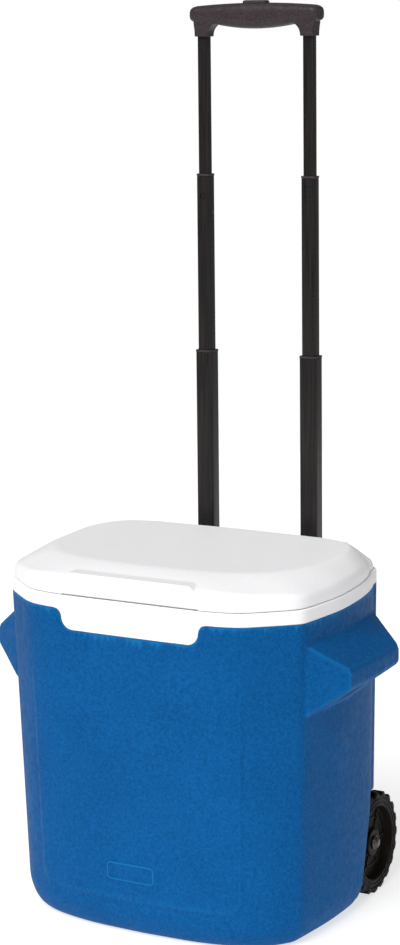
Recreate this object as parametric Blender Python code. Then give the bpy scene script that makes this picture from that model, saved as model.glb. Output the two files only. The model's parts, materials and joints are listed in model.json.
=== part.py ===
"""Fifteen-litre cooler on wheels with a three-stage telescoping pull handle.

Metres, +Z up, +X to the cooler's right as seen from the front, front facing -Y.
The origin is on the ground under the middle of the whole object, handle pulled out.
"""
import math

import bmesh
import bpy
from mathutils import Matrix, Vector

MM = 0.001
GAP = 0.3 * MM                     # clearance between pieces that touch

# Body
RIM_Z = 354.5 * MM                 # top of the blue shell
FLANGE_Z = 369.0 * MM              # top of the white rim
BASE_ROUND = (21.0 * MM, 34.0 * MM)   # rounding of the foot, across and up
WALL = 3.0 * MM                    # shell and liner wall
FRONT_TOP = [(0, -157.5), (60, -157.2), (98.5, -155.7), (127.5, -147.6), (153, -128), (179, -105)]
FRONT_FOOT = [(0, -150), (60, -147.5), (100.5, -140.5), (126, -132), (149.5, -116.5), (169.5, -92)]
SIDE_TOP = [(179, -105), (184, -71), (188, -30), (185.5, 20), (179, 60), (169.5, 91)]
SIDE_FOOT = [(169.5, -92), (173.5, -59), (177.5, -16), (178, 31), (174.5, 66), (163.5, 92)]
BACK_Y = 124.0 * MM
BACK_CORNER_X = 136.0 * MM

# Tub inside the liner: half width, front and back, at floor and rim
TUB_FLOOR_Z = 45.0 * MM
TUB_FOOT = (108 * MM, -112 * MM, 66 * MM)
TUB_RIM = (138 * MM, -130 * MM, 96 * MM)
TUB_CORNER = 38.0 * MM

# Apron: the white tab that hangs from the rim over the front of the shell
APRON_EDGE = [(83, 346), (85, 351), (88, 353.5), (93, 354.8)]   # side edge and flare, X and Z
APRON_Z = 332.0 * MM
APRON_PROUD = 0.5 * MM

# Lid
LID_Z = 370.0 * MM                 # lower edge
LID_TOP_Z = 401.0 * MM
LID_SIDE = [(179, -105), (184, -71), (188, -30), (185, 20), (178, 59), (168, 88)]
LID_PLATEAU = [(0, -117), (54, -113), (98, -105), (128, -88), (152, -50), (159, 0),
               (160, 40), (142, 78), (102, 92), (76, 95), (0, 95)]
LID_EDGE_H = [(35, 20), (62, 14), (100, 14), (125, 6)]   # degrees round from the front, height
LID_SWELL = 1.35                   # exponent of the crown between edge and plateau
TAB_HALF = 79.0 * MM               # lift tab at the front of the lid
TAB_Z = (372.0 * MM, 395.0 * MM)
TAB_FRONT = -158.0 * MM
PLUG_Z = 356.0 * MM                # underside of the lid's plug
PLUG_GAP = 3.0 * MM

# Lid hinge
HINGE_Y = 120.0 * MM
HINGE_Z = 387.5 * MM
KNUCKLE_R = 5.0 * MM
PIN_R = 2.0 * MM
NOTCH_X = (91.0 * MM, 123.0 * MM)
NOTCH_Y = 108.0 * MM
LID_KNUCKLE_X = (99.0 * MM, 115.0 * MM)

# Side carry handles
WING_Y = (-98 * MM, -73 * MM, 50 * MM, 90 * MM)
WING_GAP_Y = (-60 * MM, 36 * MM)

# Wheels and axle
WHEEL_R = 57.5 * MM
WHEEL_Y = 95.0 * MM
WHEEL_X = (136.0 * MM, 171.5 * MM)
TREAD_LUGS = 20
TREAD_DEPTH = 2.6 * MM
AXLE_R = 4.0 * MM
POCKET_R = 59.5 * MM
POCKET_X = (131.0 * MM, 172.0 * MM)
POCKET_EDGE = [(39, -6), (42, 19), (46, 36), (51, 56), (58, 75), (65, 92), (73, 104), (84, 116)]

# Telescoping handle: rounded-rectangle tubes, outer size X by Y, one inside the next
TUBE_X = 66.5 * MM
TUBE_Y = 145.5 * MM
FIXED = (24.8 * MM, 21.3 * MM, 1.4 * MM)       # width, depth, wall
LOWER = (21.3 * MM, 17.8 * MM, 1.7 * MM)
MIDDLE = (17.2 * MM, 13.7 * MM, 1.4 * MM)
UPPER = (13.7 * MM, 10.3 * MM, 1.2 * MM)
FIXED_Z = (25.0 * MM, 341.0 * MM)
LOWER_Z = (298.0 * MM, 596.6 * MM)
MIDDLE_Z = (551.0 * MM, 799.4 * MM)
UPPER_Z = (744.0 * MM, 971.0 * MM)
COLLAR_H = 2.5 * MM
COLLAR_PROUD = 0.4 * MM
SLIDER_H = 10.0 * MM
SPIGOT_H = 8.0 * MM
NUB_Z = 755.5 * MM                 # lock buttons in the middle tubes
NUB_PROUD = 1.3 * MM
NUB_RELIEF_Z = 552.5 * MM          # foot of the lower tube's channel for them

# Back pad and the two brackets that hold the fixed tubes
PAD = (92 * MM, 132 * MM, 20 * MM, 343 * MM)   # half width, rear face, foot, top
BRACKET_REAR = 158 * MM
BRACKET_TOP = (321 * MM, 345 * MM)
BRACKET_FOOT = (14 * MM, 44 * MM)
WEB_REAR = 140 * MM
SCREW_X = 25 * MM

# Grip
GRIP_HALF = 80.0 * MM
GRIP_END = 6.5 * MM                # length of each rounded end
GRIP_ARCH = 47 * MM                # half span of the belly
GRIP_DEPTH = 12.5 * MM             # half depth
GRIP_SCREW = (35 * MM, 973.3 * MM)
GRIP_BOSS_R = 3.9 * MM
GRIP_TOP = 992.5 * MM
GRIP_BELLY = 964.0 * MM
SOCKET_Z = 954.7 * MM
BUTTON = (15 * MM, 6 * MM, 985.3 * MM, 995.6 * MM)
BAR_Z = (982 * MM, 985 * MM)

COLOURS = {
    "blue": ((0.010, 0.115, 0.355), 0.55, 0.0),
    "white": ((0.84, 0.85, 0.87), 0.35, 0.0),
    "foam": ((0.80, 0.74, 0.50), 0.9, 0.0),
    "black": ((0.022, 0.020, 0.020), 0.45, 0.0),
    "tube": ((0.025, 0.022, 0.021), 0.30, 0.6),
    "rubber": ((0.013, 0.011, 0.010), 0.6, 0.0),
    "steel": ((0.55, 0.55, 0.56), 0.25, 1.0),
}


# ---------------------------------------------------------------- meshes

def clear_scene():
    for item in list(bpy.data.objects):
        bpy.data.objects.remove(item, do_unlink=True)


def material(name):
    found = bpy.data.materials.get(name)
    if found:
        return found
    colour, roughness, metallic = COLOURS[name]
    made = bpy.data.materials.new(name)
    made.use_nodes = True
    shader = made.node_tree.nodes["Principled BSDF"]
    shader.inputs["Base Color"].default_value = (*colour, 1)
    shader.inputs["Roughness"].default_value = roughness
    shader.inputs["Metallic"].default_value = metallic
    return made


def new_object(name, bm, colour="black", smooth=35):
    """Turn a bmesh into a named object with outward normals."""
    bmesh.ops.remove_doubles(bm, verts=bm.verts, dist=0.01 * MM)
    bmesh.ops.recalc_face_normals(bm, faces=bm.faces)
    bmesh.ops.triangulate(bm, faces=bm.faces)
    mesh = bpy.data.meshes.new(name)
    bm.to_mesh(mesh)
    bm.free()
    mesh.shade_smooth()
    mesh.set_sharp_from_angle(angle=math.radians(smooth))
    made = bpy.data.objects.new(name, mesh)
    mesh.materials.append(material(colour))
    bpy.context.collection.objects.link(made)
    return made


def loft(rings, name="tool", colour="black", closed=False):
    """Skin a list of closed rings that have the same number of points."""
    bm = bmesh.new()
    rows = [[bm.verts.new(point) for point in ring] for ring in rings]
    count = len(rows[0])
    pairs = list(zip(rows, rows[1:]))
    if closed:
        pairs.append((rows[-1], rows[0]))
    for low, high in pairs:
        for i in range(count):
            j = (i + 1) % count
            bm.faces.new((low[i], low[j], high[j], high[i]))
    if not closed:
        bm.faces.new(rows[0])
        bm.faces.new(rows[-1])
    return new_object(name, bm, colour)


def prism(outline, axis, low, high, name="tool", colour="black"):
    """Extrude a flat outline along X, Y or Z; the outline gives the other two."""
    place = {
        "x": lambda a, b, t: (t, a, b),
        "y": lambda a, b, t: (a, t, b),
        "z": lambda a, b, t: (a, b, t),
    }[axis]
    return loft([[place(a, b, t) for a, b in outline] for t in (low, high)], name, colour)


def block(x, y, z, name="tool", colour="black"):
    outline = [(x[0], y[0]), (x[1], y[0]), (x[1], y[1]), (x[0], y[1])]
    return prism(outline, "z", z[0], z[1], name, colour)


def circle(radius, centre=(0, 0), steps=24):
    turns = [2 * math.pi * (i + 0.5) / steps for i in range(steps)]
    return [(centre[0] + radius * math.cos(t), centre[1] + radius * math.sin(t)) for t in turns]


def rod(axis, radius, centre, low, high, name="tool", colour="steel", steps=24):
    return prism(circle(radius, centre, steps), axis, low, high, name, colour)


def bake(target):
    """Replace the mesh by its evaluated one and drop the modifiers."""
    graph = bpy.context.evaluated_depsgraph_get()
    result = bpy.data.meshes.new_from_object(target.evaluated_get(graph))
    target.modifiers.clear()
    target.data = result
    result.name = target.name


def combine(target, tool, operation):
    cut = target.modifiers.new("cut", "BOOLEAN")
    cut.operation = operation
    cut.solver = "EXACT"
    cut.object = tool
    bake(target)
    bpy.data.objects.remove(tool, do_unlink=True)
    return target


def finish(target, smooth=35):
    """Tidy a shape after its booleans and shade its round faces smooth."""
    bm = bmesh.new()
    bm.from_mesh(target.data)
    bmesh.ops.remove_doubles(bm, verts=bm.verts, dist=0.02 * MM)
    bmesh.ops.dissolve_degenerate(bm, edges=bm.edges, dist=0.01 * MM)
    flat = math.radians(0.5)
    bmesh.ops.dissolve_limit(bm, angle_limit=flat, verts=bm.verts, edges=bm.edges)
    bmesh.ops.triangulate(bm, faces=bm.faces)
    bm.to_mesh(target.data)
    bm.free()
    target.data.shade_smooth()
    target.data.set_sharp_from_angle(angle=math.radians(smooth))
    return target


def add(target, tool):
    return combine(target, tool, "UNION")


def cut(target, tool):
    return combine(target, tool, "DIFFERENCE")


def keep(target, tool):
    return combine(target, tool, "INTERSECT")


# ---------------------------------------------------------------- outlines

def curve_through(points, steps=2):
    """Catmull-Rom curve through the points, in metres, with its first and last kept."""
    spots = [Vector((x * MM, y * MM)) for x, y in points]
    spots = [2 * spots[0] - spots[1]] + spots + [2 * spots[-1] - spots[-2]]
    out = []
    for a, b, c, d in zip(spots, spots[1:], spots[2:], spots[3:]):
        for i in range(steps):
            t = i / steps
            out.append(0.5 * ((2 * b) + (c - a) * t + (2 * a - 5 * b + 4 * c - d) * t * t
                              + (3 * b - a - 3 * c + d) * t ** 3))
    out.append(spots[-2])
    return out


def mirrored(half):
    """Close a right half outline, given front middle to back middle, over X = 0."""
    left = [Vector((-p.x, p.y)) for p in reversed(half) if p.x > 1e-6]
    return half + left


def back_corner(start):
    """Quarter turn from the side's last point to the flat back."""
    reach = Vector((BACK_CORNER_X, BACK_Y))
    across = start.x - reach.x
    along = reach.y - start.y
    out = []
    for i in range(1, 6):
        turn = math.radians(90 * i / 5)
        out.append(Vector((reach.x + across * math.cos(turn), start.y + along * math.sin(turn))))
    return out


def body_outline(front, side):
    half = curve_through(front)[:-1] + curve_through(side)
    half = half + back_corner(half[-1]) + [Vector((0, BACK_Y))]
    return mirrored(half)


def inset_outline(outline, distance):
    """Move a closed counter-clockwise outline inwards by a distance."""
    if abs(distance) < 1e-9:
        return list(outline)
    out = []
    count = len(outline)
    for i, point in enumerate(outline):
        before = (point - outline[i - 1]).normalized()
        after = (outline[(i + 1) % count] - point).normalized()
        normal = Vector((-before.y - after.y, before.x + after.x)).normalized()
        lean = max(0.5, normal.dot(Vector((-after.y, after.x))))
        out.append(point + normal * distance / lean)
    return out


TOP_OUTLINE = body_outline(FRONT_TOP, SIDE_TOP)
LID_OUTLINE = body_outline(FRONT_TOP, LID_SIDE)
FOOT_OUTLINE = body_outline(FRONT_FOOT, SIDE_FOOT)


def body_ring(z, inset=0.0):
    """Outline of the tapering body at a height, moved inwards."""
    t = min(1.0, max(0.0, z / RIM_Z))
    mixed = [a.lerp(b, t) for a, b in zip(FOOT_OUTLINE, TOP_OUTLINE)]
    return inset_outline(mixed, inset)


def body_volume(inset, low, high, name="tool", colour="black"):
    """Tapered body with its rounded foot, offset inwards; low is its underside."""
    across, up = (size - max(0.0, low) for size in BASE_ROUND)
    rings = []
    for i in range(5):
        turn = math.radians(90 - 90 * i / 4)
        z = low + up * (1 - math.sin(turn))
        side = inset + across * (1 - math.cos(turn))
        rings.append([(p.x, p.y, z) for p in body_ring(z, side)])
    for z in (RIM_Z * 0.5, high):
        rings.append([(p.x, p.y, z) for p in body_ring(z, inset)])
    return loft(rings, name, colour)


def rounded_rectangle(half_x, low_y, high_y, radius, steps=5):
    corners = [(half_x - radius, low_y + radius, -90), (half_x - radius, high_y - radius, 0),
               (radius - half_x, high_y - radius, 90), (radius - half_x, low_y + radius, 180)]
    out = []
    for x, y, start in corners:
        for i in range(steps + 1):
            turn = math.radians(start + 90 * i / steps)
            out.append((x + radius * math.cos(turn), y + radius * math.sin(turn)))
    return out


def tub_volume(outset, low, high):
    """The tub's tapering room, grown outwards, between two heights."""
    rings = []
    for z in (low, high):
        t = (z - TUB_FLOOR_Z) / (FLANGE_Z - TUB_FLOOR_Z)
        half, front, back = (a + (b - a) * t for a, b in zip(TUB_FOOT, TUB_RIM))
        outline = rounded_rectangle(half + outset, front - outset, back + outset,
                                    TUB_CORNER + outset)
        rings.append([(x, y, z) for x, y in outline])
    return loft(rings)


def wheel_arch(radius, low):
    """Side view of a wheel pocket: round on top, straight down to below the base."""
    out = [(WHEEL_Y + radius, low), ]
    for i in range(13):
        turn = math.pi * i / 12
        out.append((WHEEL_Y + radius * math.cos(turn), WHEEL_R + radius * math.sin(turn)))
    out.append((WHEEL_Y - radius, low))
    return out


def pocket_cutters(grow):
    """Both wheel pockets and the axle channel, each grown by a wall thickness."""
    low = -6 * MM
    outer = 215 * MM
    tools = []
    for side in (-1, 1):
        reach = sorted((side * (POCKET_X[0] - grow), side * outer))
        tools.append(prism(wheel_arch(POCKET_R + grow, low), "x", *reach))
    channel = AXLE_R + 0.7 * MM + grow
    out = [(WHEEL_Y + channel, low)]
    for i in range(7):
        turn = math.pi * i / 6
        out.append((WHEEL_Y + channel * math.cos(turn), WHEEL_R + channel * math.sin(turn)))
    out.append((WHEEL_Y - channel, low))
    tools.append(prism(out, "x", -POCKET_X[0] - 1 * MM, POCKET_X[0] + 1 * MM))
    return tools


def apron_outline(grow, top=FLANGE_Z):
    """Front view of the apron tab: round lower corners, flaring sides."""
    radius = 14 * MM
    foot = APRON_EDGE[0][0] * MM - radius
    half = []
    for i in range(6):
        turn = math.radians(-90 + 90 * i / 5)
        half.append((foot + (radius + grow) * math.cos(turn),
                     APRON_Z + radius + (radius + grow) * math.sin(turn)))
    half += [(x * MM + grow, z * MM - grow) for x, z in APRON_EDGE[1:]]
    half.append((APRON_EDGE[-1][0] * MM + grow, top))
    return half + [(-x, z) for x, z in reversed(half)]


# ---------------------------------------------------------------- body

def wing(side):
    """Solid carry handle moulded into the shell's side, before its finger hollow."""
    rings = []
    front, full_front, full_back, back = WING_Y
    sections = [
        (front, 173, 179.0, 179.4, 330, 329, 326, 258, 255, 254),
        (full_front, 176, 184, 215.5, 330, 304, 298, 284, 280, 255),
        ((full_front + full_back) / 2, 178, 187, 217.0, 331, 303, 297, 283, 279, 254),
        (full_back, 174, 181.5, 215.5, 330, 303, 297, 284, 280, 254),
        (back, 160, 167.5, 168.1, 327, 326, 323, 261, 259, 258),
    ]
    for y, deep, wall, out, z0, z1, z2, z3, z4, z5 in sections:
        lip = out + (2.5 if out > 200 else 0.2)
        ring = [(deep, z0), (wall, z0), (out, z1), (lip, z2), (lip, z3), (out, z4),
                (wall - 1, z5), (deep, z5)]
        rings.append([(side * x * MM, y, z * MM) for x, z in ring])
    return loft(rings)


def finger_hollow(side):
    outline = [(188, 243), (188, 314), (208, 300), (213, 294), (213, 243)]
    outline = [(side * x * MM, z * MM) for x, z in outline]
    return prism(outline, "y", *WING_GAP_Y)


def make_outer_shell():
    shell = body_volume(0, 0, RIM_Z, "outer_shell", "blue")
    for side in (-1, 1):
        add(shell, wing(side))
    half, rear, foot, top = PAD
    add(shell, block((-half, half), (BACK_Y - 8 * MM, rear), (foot, top)))
    plaque = body_volume(-0.9 * MM, 0, RIM_Z)
    badge = [(x - 4 * MM, z)
             for x, z in rounded_rectangle(28 * MM, 63 * MM, 83 * MM, 5 * MM, 3)]
    keep(plaque, prism(badge, "y", -170 * MM, -138 * MM))
    add(shell, plaque)
    for side in (-1, 1):
        cut(shell, finger_hollow(side))
    room = body_volume(WALL, WALL, RIM_Z + 6 * MM)
    for tool in pocket_cutters(WALL):
        cut(room, tool)
    cut(shell, room)
    for side in (-1, 1):
        arch = prism(wheel_arch(POCKET_R, -6 * MM), "x",
                     *sorted((side * POCKET_X[0], side * POCKET_X[1])))
        cut(shell, arch)
        edge = [(y * MM, z * MM) for y, z in POCKET_EDGE]
        roof = WHEEL_R + POCKET_R
        edge += [(160 * MM, roof), (160 * MM, -6 * MM)]
        cut(shell, prism(edge, "x", *sorted((side * 166 * MM, side * 205 * MM))))
    cut(shell, pocket_channel())
    cut(shell, prism(apron_outline(0.4 * MM), "y", -170 * MM, -140 * MM))
    for x in (-SCREW_X, SCREW_X):
        for z in (sum(BRACKET_TOP) / 2, sum(BRACKET_FOOT) / 2):
            cut(shell, rod("y", 2.3 * MM, (x, z), 123.5 * MM, 140 * MM, steps=12))
    return finish(shell)


def pocket_channel():
    tools = pocket_cutters(0)
    for tool in tools[:2]:
        bpy.data.objects.remove(tool, do_unlink=True)
    return tools[2]


def make_foam_core():
    inset = WALL + GAP
    foam = body_volume(inset, inset, FLANGE_Z - WALL - GAP, "foam_core", "foam")
    for tool in pocket_cutters(WALL + GAP):
        cut(foam, tool)
    floor = TUB_FLOOR_Z - WALL - GAP
    cut(foam, tub_volume(WALL + GAP, floor, FLANGE_Z + 5 * MM))
    return finish(foam)


def make_inner_liner():
    liner = rim_solid(0, RIM_Z + GAP, FLANGE_Z, "inner_liner", "white")
    cut(liner, rim_solid(WALL, RIM_Z - 5 * MM, FLANGE_Z - WALL))
    apron = body_volume(-APRON_PROUD, 0, FLANGE_Z)
    cut(apron, body_volume(WALL - GAP, WALL, FLANGE_Z + 5 * MM))
    keep(apron, prism(apron_outline(0, FLANGE_Z - 0.5 * MM), "y", -170 * MM, -140 * MM))
    add(liner, apron)
    add(liner, tub_volume(WALL, TUB_FLOOR_Z - WALL, FLANGE_Z - 1 * MM))
    for side in (-1, 1):
        for low, high in body_knuckles():
            reach = sorted((side * low, side * high))
            arm = block(reach, (HINGE_Y - KNUCKLE_R, HINGE_Y + KNUCKLE_R),
                        (FLANGE_Z - 2 * MM, HINGE_Z))
            add(arm, rod("x", KNUCKLE_R, (HINGE_Y, HINGE_Z), *reach))
            cut(arm, rod("x", PIN_R + GAP, (HINGE_Y, HINGE_Z), reach[0] - MM, reach[1] + MM,
                         steps=16))
            add(liner, arm)
    cut(liner, tub_volume(0, TUB_FLOOR_Z, FLANGE_Z + 5 * MM))
    return finish(liner)


def rim_solid(inset, low, high, name="tool", colour="black"):
    return loft([[(p.x, p.y, z) for p in body_ring(RIM_Z, inset)] for z in (low, high)],
                name, colour)


def body_knuckles():
    outer = 0.6 * MM
    return [(NOTCH_X[0] + outer, LID_KNUCKLE_X[0] - 0.4 * MM),
            (LID_KNUCKLE_X[1] + 0.4 * MM, NOTCH_X[1] - outer)]


# ---------------------------------------------------------------- lid

def on_ray(outline, centre, direction):
    """Point where a ray from the centre leaves a closed outline."""
    best = None
    count = len(outline)
    for i in range(count):
        a = outline[i] - centre
        b = outline[(i + 1) % count] - centre
        edge = b - a
        cross = direction.x * edge.y - direction.y * edge.x
        if abs(cross) < 1e-12:
            continue
        reach = (a.x * edge.y - a.y * edge.x) / cross
        along = (a.x * direction.y - a.y * direction.x) / cross
        if reach > 0 and -1e-6 <= along <= 1 + 1e-6:
            best = reach if best is None else max(best, reach)
    return centre + direction * best


def edge_height(x, y):
    """Height of the lid's upright edge, lower towards the hinge."""
    turn = math.degrees(math.atan2(abs(x), -y))
    known = [(0, LID_EDGE_H[0][1])] + LID_EDGE_H + [(180, LID_EDGE_H[-1][1])]
    for (a, low), (b, high) in zip(known, known[1:]):
        if turn <= b:
            return (low + (high - low) * (turn - a) / (b - a)) * MM
    return known[-1][1] * MM


def lid_volume(inset, low, name="tool", colour="black", shares=(0, 0.02, 0.07, 0.3, 0.6, 1)):
    """Lid body, offset inwards: upright edge, then a crown that swells to a flat plateau."""
    edge = inset_outline(LID_OUTLINE, 1.5 * MM + inset)
    plateau = inset_outline(mirrored(curve_through(LID_PLATEAU)), inset * 0.5)
    centre = Vector((0, -10 * MM))
    inner = [on_ray(plateau, centre, (p - centre).normalized()) for p in edge]
    rings = [[(p.x, p.y, low) for p in edge]]
    for share in shares:
        ring = []
        rounding = 0 if inset else 4 * MM * max(0.0, 1 - 14 * share) ** 2
        for p, q in zip(edge, inner):
            foot = LID_Z + edge_height(*(p - centre))
            rise = (LID_TOP_Z - foot) * (1 - (1 - share) ** LID_SWELL)
            ring.append((*p.lerp(q, share), foot + rise - rounding - inset))
        rings.append(ring)
    return loft(rings, name, colour)


def notch(side, grow):
    reach = sorted((side * (NOTCH_X[0] - grow), side * (NOTCH_X[1] + grow)))
    return block(reach, (NOTCH_Y - grow, 140 * MM), (340 * MM, 410 * MM))


def tab_outline():
    """Front view of the lift tab, with its round upper corners."""
    radius = 9 * MM
    half = [(TAB_HALF - 2 * MM, TAB_Z[0])]
    for i in range(5):
        turn = math.radians(90 * i / 4)
        half.append((TAB_HALF - radius + radius * math.cos(turn),
                     TAB_Z[1] - radius + radius * math.sin(turn)))
    return half + [(-x, z) for x, z in reversed(half)]


def make_lid_top():
    lid = lid_volume(0, LID_Z, "lid_top", "white")
    tab = prism(tab_outline(), "y", TAB_FRONT, -143 * MM)
    add(lid, tab)
    for side in (-1, 1):
        cut(lid, notch(side, 0))
    room = lid_volume(WALL, LID_Z - 5 * MM, shares=(0, 0.07, 0.4, 1))
    for side in (-1, 1):
        cut(room, notch(side, WALL))
    cut(lid, room)
    cut(lid, block((-TAB_HALF - 4 * MM, TAB_HALF + 4 * MM), (-170 * MM, -150 * MM),
                   (LID_Z - 5 * MM, TAB_Z[0])))
    for side in (-1, 1):
        reach = sorted(side * x for x in LID_KNUCKLE_X)
        arm = block(reach, (NOTCH_Y - 1.5 * MM, HINGE_Y), (HINGE_Z - 4.5 * MM, HINGE_Z + 4.5 * MM))
        add(arm, rod("x", KNUCKLE_R, (HINGE_Y, HINGE_Z), *reach))
        cut(arm, rod("x", PIN_R + GAP, (HINGE_Y, HINGE_Z), reach[0] - MM, reach[1] + MM, steps=16))
        add(lid, arm)
    return finish(lid)


def make_lid_panel():
    plate = FLANGE_Z + GAP
    edge = inset_outline(LID_OUTLINE, 1.5 * MM + WALL + 1.2 * MM)
    panel = prism([tuple(p) for p in edge], "z", plate, plate + 2.5 * MM, "lid_panel", "white")
    for side in (-1, 1):
        cut(panel, notch(side, WALL + GAP))
    add(panel, tub_volume(-PLUG_GAP, PLUG_Z, plate + 1 * MM))
    cut(panel, tub_volume(-PLUG_GAP - 2.5 * MM, PLUG_Z + 2.5 * MM, plate + 8 * MM))
    return finish(panel)


def make_lid_foam():
    low = FLANGE_Z + GAP + 2.5 * MM + GAP
    foam = lid_volume(WALL + GAP, low, "lid_foam", "foam", (0, 0.07, 0.4, 1))
    for side in (-1, 1):
        cut(foam, notch(side, WALL + GAP))
    add(foam, tub_volume(-PLUG_GAP - 2.5 * MM - GAP, PLUG_Z + 2.5 * MM + GAP, low + 2 * MM))
    return finish(foam)


# ---------------------------------------------------------------- wheels

def make_wheel(side, name):
    """Moulded wheel: lugged tread, ridged side faces, dished web and long hub."""
    inner, outer = WHEEL_X
    tread = WHEEL_R - TREAD_DEPTH
    profile = [
        (4.4 * MM, inner - 1.2 * MM, 0), (14 * MM, inner - 1.2 * MM, 0),
        (16 * MM, inner + 9 * MM, 0), (39 * MM, inner + 9 * MM, 0),
        (49 * MM, inner, 0),
        (tread, inner + 2.5 * MM, 1), (tread, outer - 2.5 * MM, 1),
        (49 * MM, outer, 0), (41 * MM, outer - 1 * MM, 0), (38 * MM, outer - 9 * MM, 0),
        (16 * MM, outer - 9 * MM, 0), (15 * MM, outer - 3.5 * MM, 0),
        (4.4 * MM, outer - 3.5 * MM, 0),
    ]
    per_lug = 3
    lift = (0, 1, 1)
    rings = []
    for i in range(TREAD_LUGS * per_lug):
        turn = 2 * math.pi * (i + 0.5) / (TREAD_LUGS * per_lug)
        ring = []
        for radius, x, lug in profile:
            reach = radius + lug * lift[i % per_lug] * TREAD_DEPTH
            ring.append((side * x, WHEEL_Y + reach * math.cos(turn),
                         WHEEL_R + reach * math.sin(turn)))
        rings.append(ring)
    return loft(rings, name, "rubber", closed=True)


def make_axle_parts():
    centre = (WHEEL_Y, WHEEL_R)
    rod("x", AXLE_R, centre, -170.5 * MM, 170.5 * MM, "axle", steps=16)
    for side, name in ((-1, "left"), (1, "right")):
        washer = rod("x", 9 * MM, centre, *sorted((side * 131.5 * MM, side * 133.9 * MM)),
                     name="axle_washer_" + name, steps=16)
        cut(washer, rod("x", AXLE_R + GAP, centre, *sorted((side * 130 * MM, side * 136 * MM)),
                        steps=12))
        rings = []
        for radius, x in ((7, 168.4), (7, 170.4), (6, 172.4), (3.5, 173.6), (0.8, 174.0)):
            rings.append([(side * x * MM, y, z) for y, z in circle(radius * MM, centre, 14)])
        cap = loft(rings, "axle_cap_" + name, "steel")
        cut(cap, rod("x", AXLE_R + GAP, centre, *sorted((side * 160 * MM, side * 170.8 * MM)),
                     steps=12))
        reach = sorted((side * 52 * MM, side * 82 * MM))
        block(reach, (WHEEL_Y - 4.3 * MM, WHEEL_Y + 4.3 * MM), (1.5 * MM, WHEEL_R - AXLE_R - GAP),
              "axle_retainer_" + name, "black")


# ---------------------------------------------------------------- telescoping handle

def tube_ring(size, x, z, grow=0.0, radius=3.0 * MM, steps=3):
    width, depth = size[0] / 2 + grow, size[1] / 2 + grow
    radius = max(0.5 * MM, min(radius + grow, depth * 0.8))
    return [(x + a, TUBE_Y + b, z)
            for a, b in rounded_rectangle(width, -depth, depth, radius, steps)]


def tube_solid(size, x, z, grow=0.0, name="tool", colour="tube"):
    return loft([tube_ring(size, x, height, grow) for height in z], name, colour)


def tube(size, x, z, name):
    """Hollow rounded-rectangle tube."""
    low, high = z
    rings = [tube_ring(size, x, low), tube_ring(size, x, high),
             tube_ring(size, x, high, -size[2]), tube_ring(size, x, low, -size[2])]
    return loft(rings, name, "tube", closed=True)


def collar(size, following, x, top, name):
    """Plastic ring on a tube's mouth, which the next tube slides through."""
    low = top - COLLAR_H
    rings = [tube_ring(size, x, low, COLLAR_PROUD), tube_ring(size, x, top, COLLAR_PROUD),
             tube_ring(following, x, top, GAP), tube_ring(following, x, low, GAP)]
    return loft(rings, name, "black", closed=True)


def slider(size, around, x, bottom, name):
    """Plug in a tube's lower end, whose foot guides it inside the tube around it."""
    foot = tube_solid(around, x, (bottom - SLIDER_H, bottom - GAP), -around[2] - GAP,
                      name, "black")
    add(foot, tube_solid(size, x, (bottom - 2 * MM, bottom + SPIGOT_H), -size[2] - GAP))
    return finish(foot)


def make_tubes():
    for side, name in ((-1, "left"), (1, "right")):
        x = side * TUBE_X
        tube(FIXED, x, FIXED_Z, "fixed_tube_" + name)
        lower = tube(LOWER, x, (LOWER_Z[0], LOWER_Z[1] - COLLAR_H - GAP), "lower_tube_" + name)
        mouth = collar(LOWER, MIDDLE, x, LOWER_Z[1], "lower_collar_" + name)
        slider(LOWER, FIXED, x, LOWER_Z[0], "lower_slider_" + name)
        middle = tube(MIDDLE, x, (MIDDLE_Z[0], MIDDLE_Z[1] - COLLAR_H - GAP),
                      "middle_tube_" + name)
        collar(MIDDLE, UPPER, x, MIDDLE_Z[1], "middle_collar_" + name)
        slider(MIDDLE, LOWER, x, MIDDLE_Z[0], "middle_slider_" + name)
        tube(UPPER, x, UPPER_Z, "upper_tube_" + name)
        slider(UPPER, MIDDLE, x, UPPER_Z[0], "upper_slider_" + name)
        face = x - side * MIDDLE[0] / 2
        for outer in (lower, mouth):
            relief = sorted((face - side * (NUB_PROUD + 0.15 * MM), face + side * 0.3 * MM))
            cut(outer, block(relief, (TUBE_Y - 2.9 * MM, TUBE_Y + 2.9 * MM),
                             (NUB_RELIEF_Z, LOWER_Z[1] + MM)))
            finish(outer)
        reach = sorted((face - side * NUB_PROUD, face + side * 1.35 * MM))
        through = sorted((face - side * 4 * MM, face + side * 4 * MM))
        cut(middle, rod("x", 2.7 * MM, (TUBE_Y, NUB_Z), *through, steps=16))
        finish(middle)
        rod("x", 2.4 * MM, (TUBE_Y, NUB_Z), *reach, name="lock_button_" + name, steps=16)


def bracket(z, floor, name):
    """Black plastic cross-piece that holds both fixed tubes against the back pad."""
    low, high = z
    front = PAD[1] + GAP
    half = PAD[0] - 4 * MM
    made = block((-half, half), (front, WEB_REAR), z, name, "black")
    for x in (-TUBE_X, TUBE_X):
        reach = FIXED[0] / 2 + 3 * MM
        add(made, block((x - reach, x + reach), (front, BRACKET_REAR), z))
        if floor:
            cut(made, tube_solid(FIXED, x, (FIXED_Z[0] - GAP, high + MM), GAP))
        else:
            cut(made, tube_solid(FIXED, x, (low - MM, FIXED_Z[1] + GAP), GAP))
            cut(made, tube_solid(LOWER, x, (low, high + MM), 0.4 * MM))
    for x in (-SCREW_X, SCREW_X):
        cut(made, rod("y", 2.3 * MM, (x, (low + high) / 2), front - MM, WEB_REAR + MM, steps=12))
    return finish(made)


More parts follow.
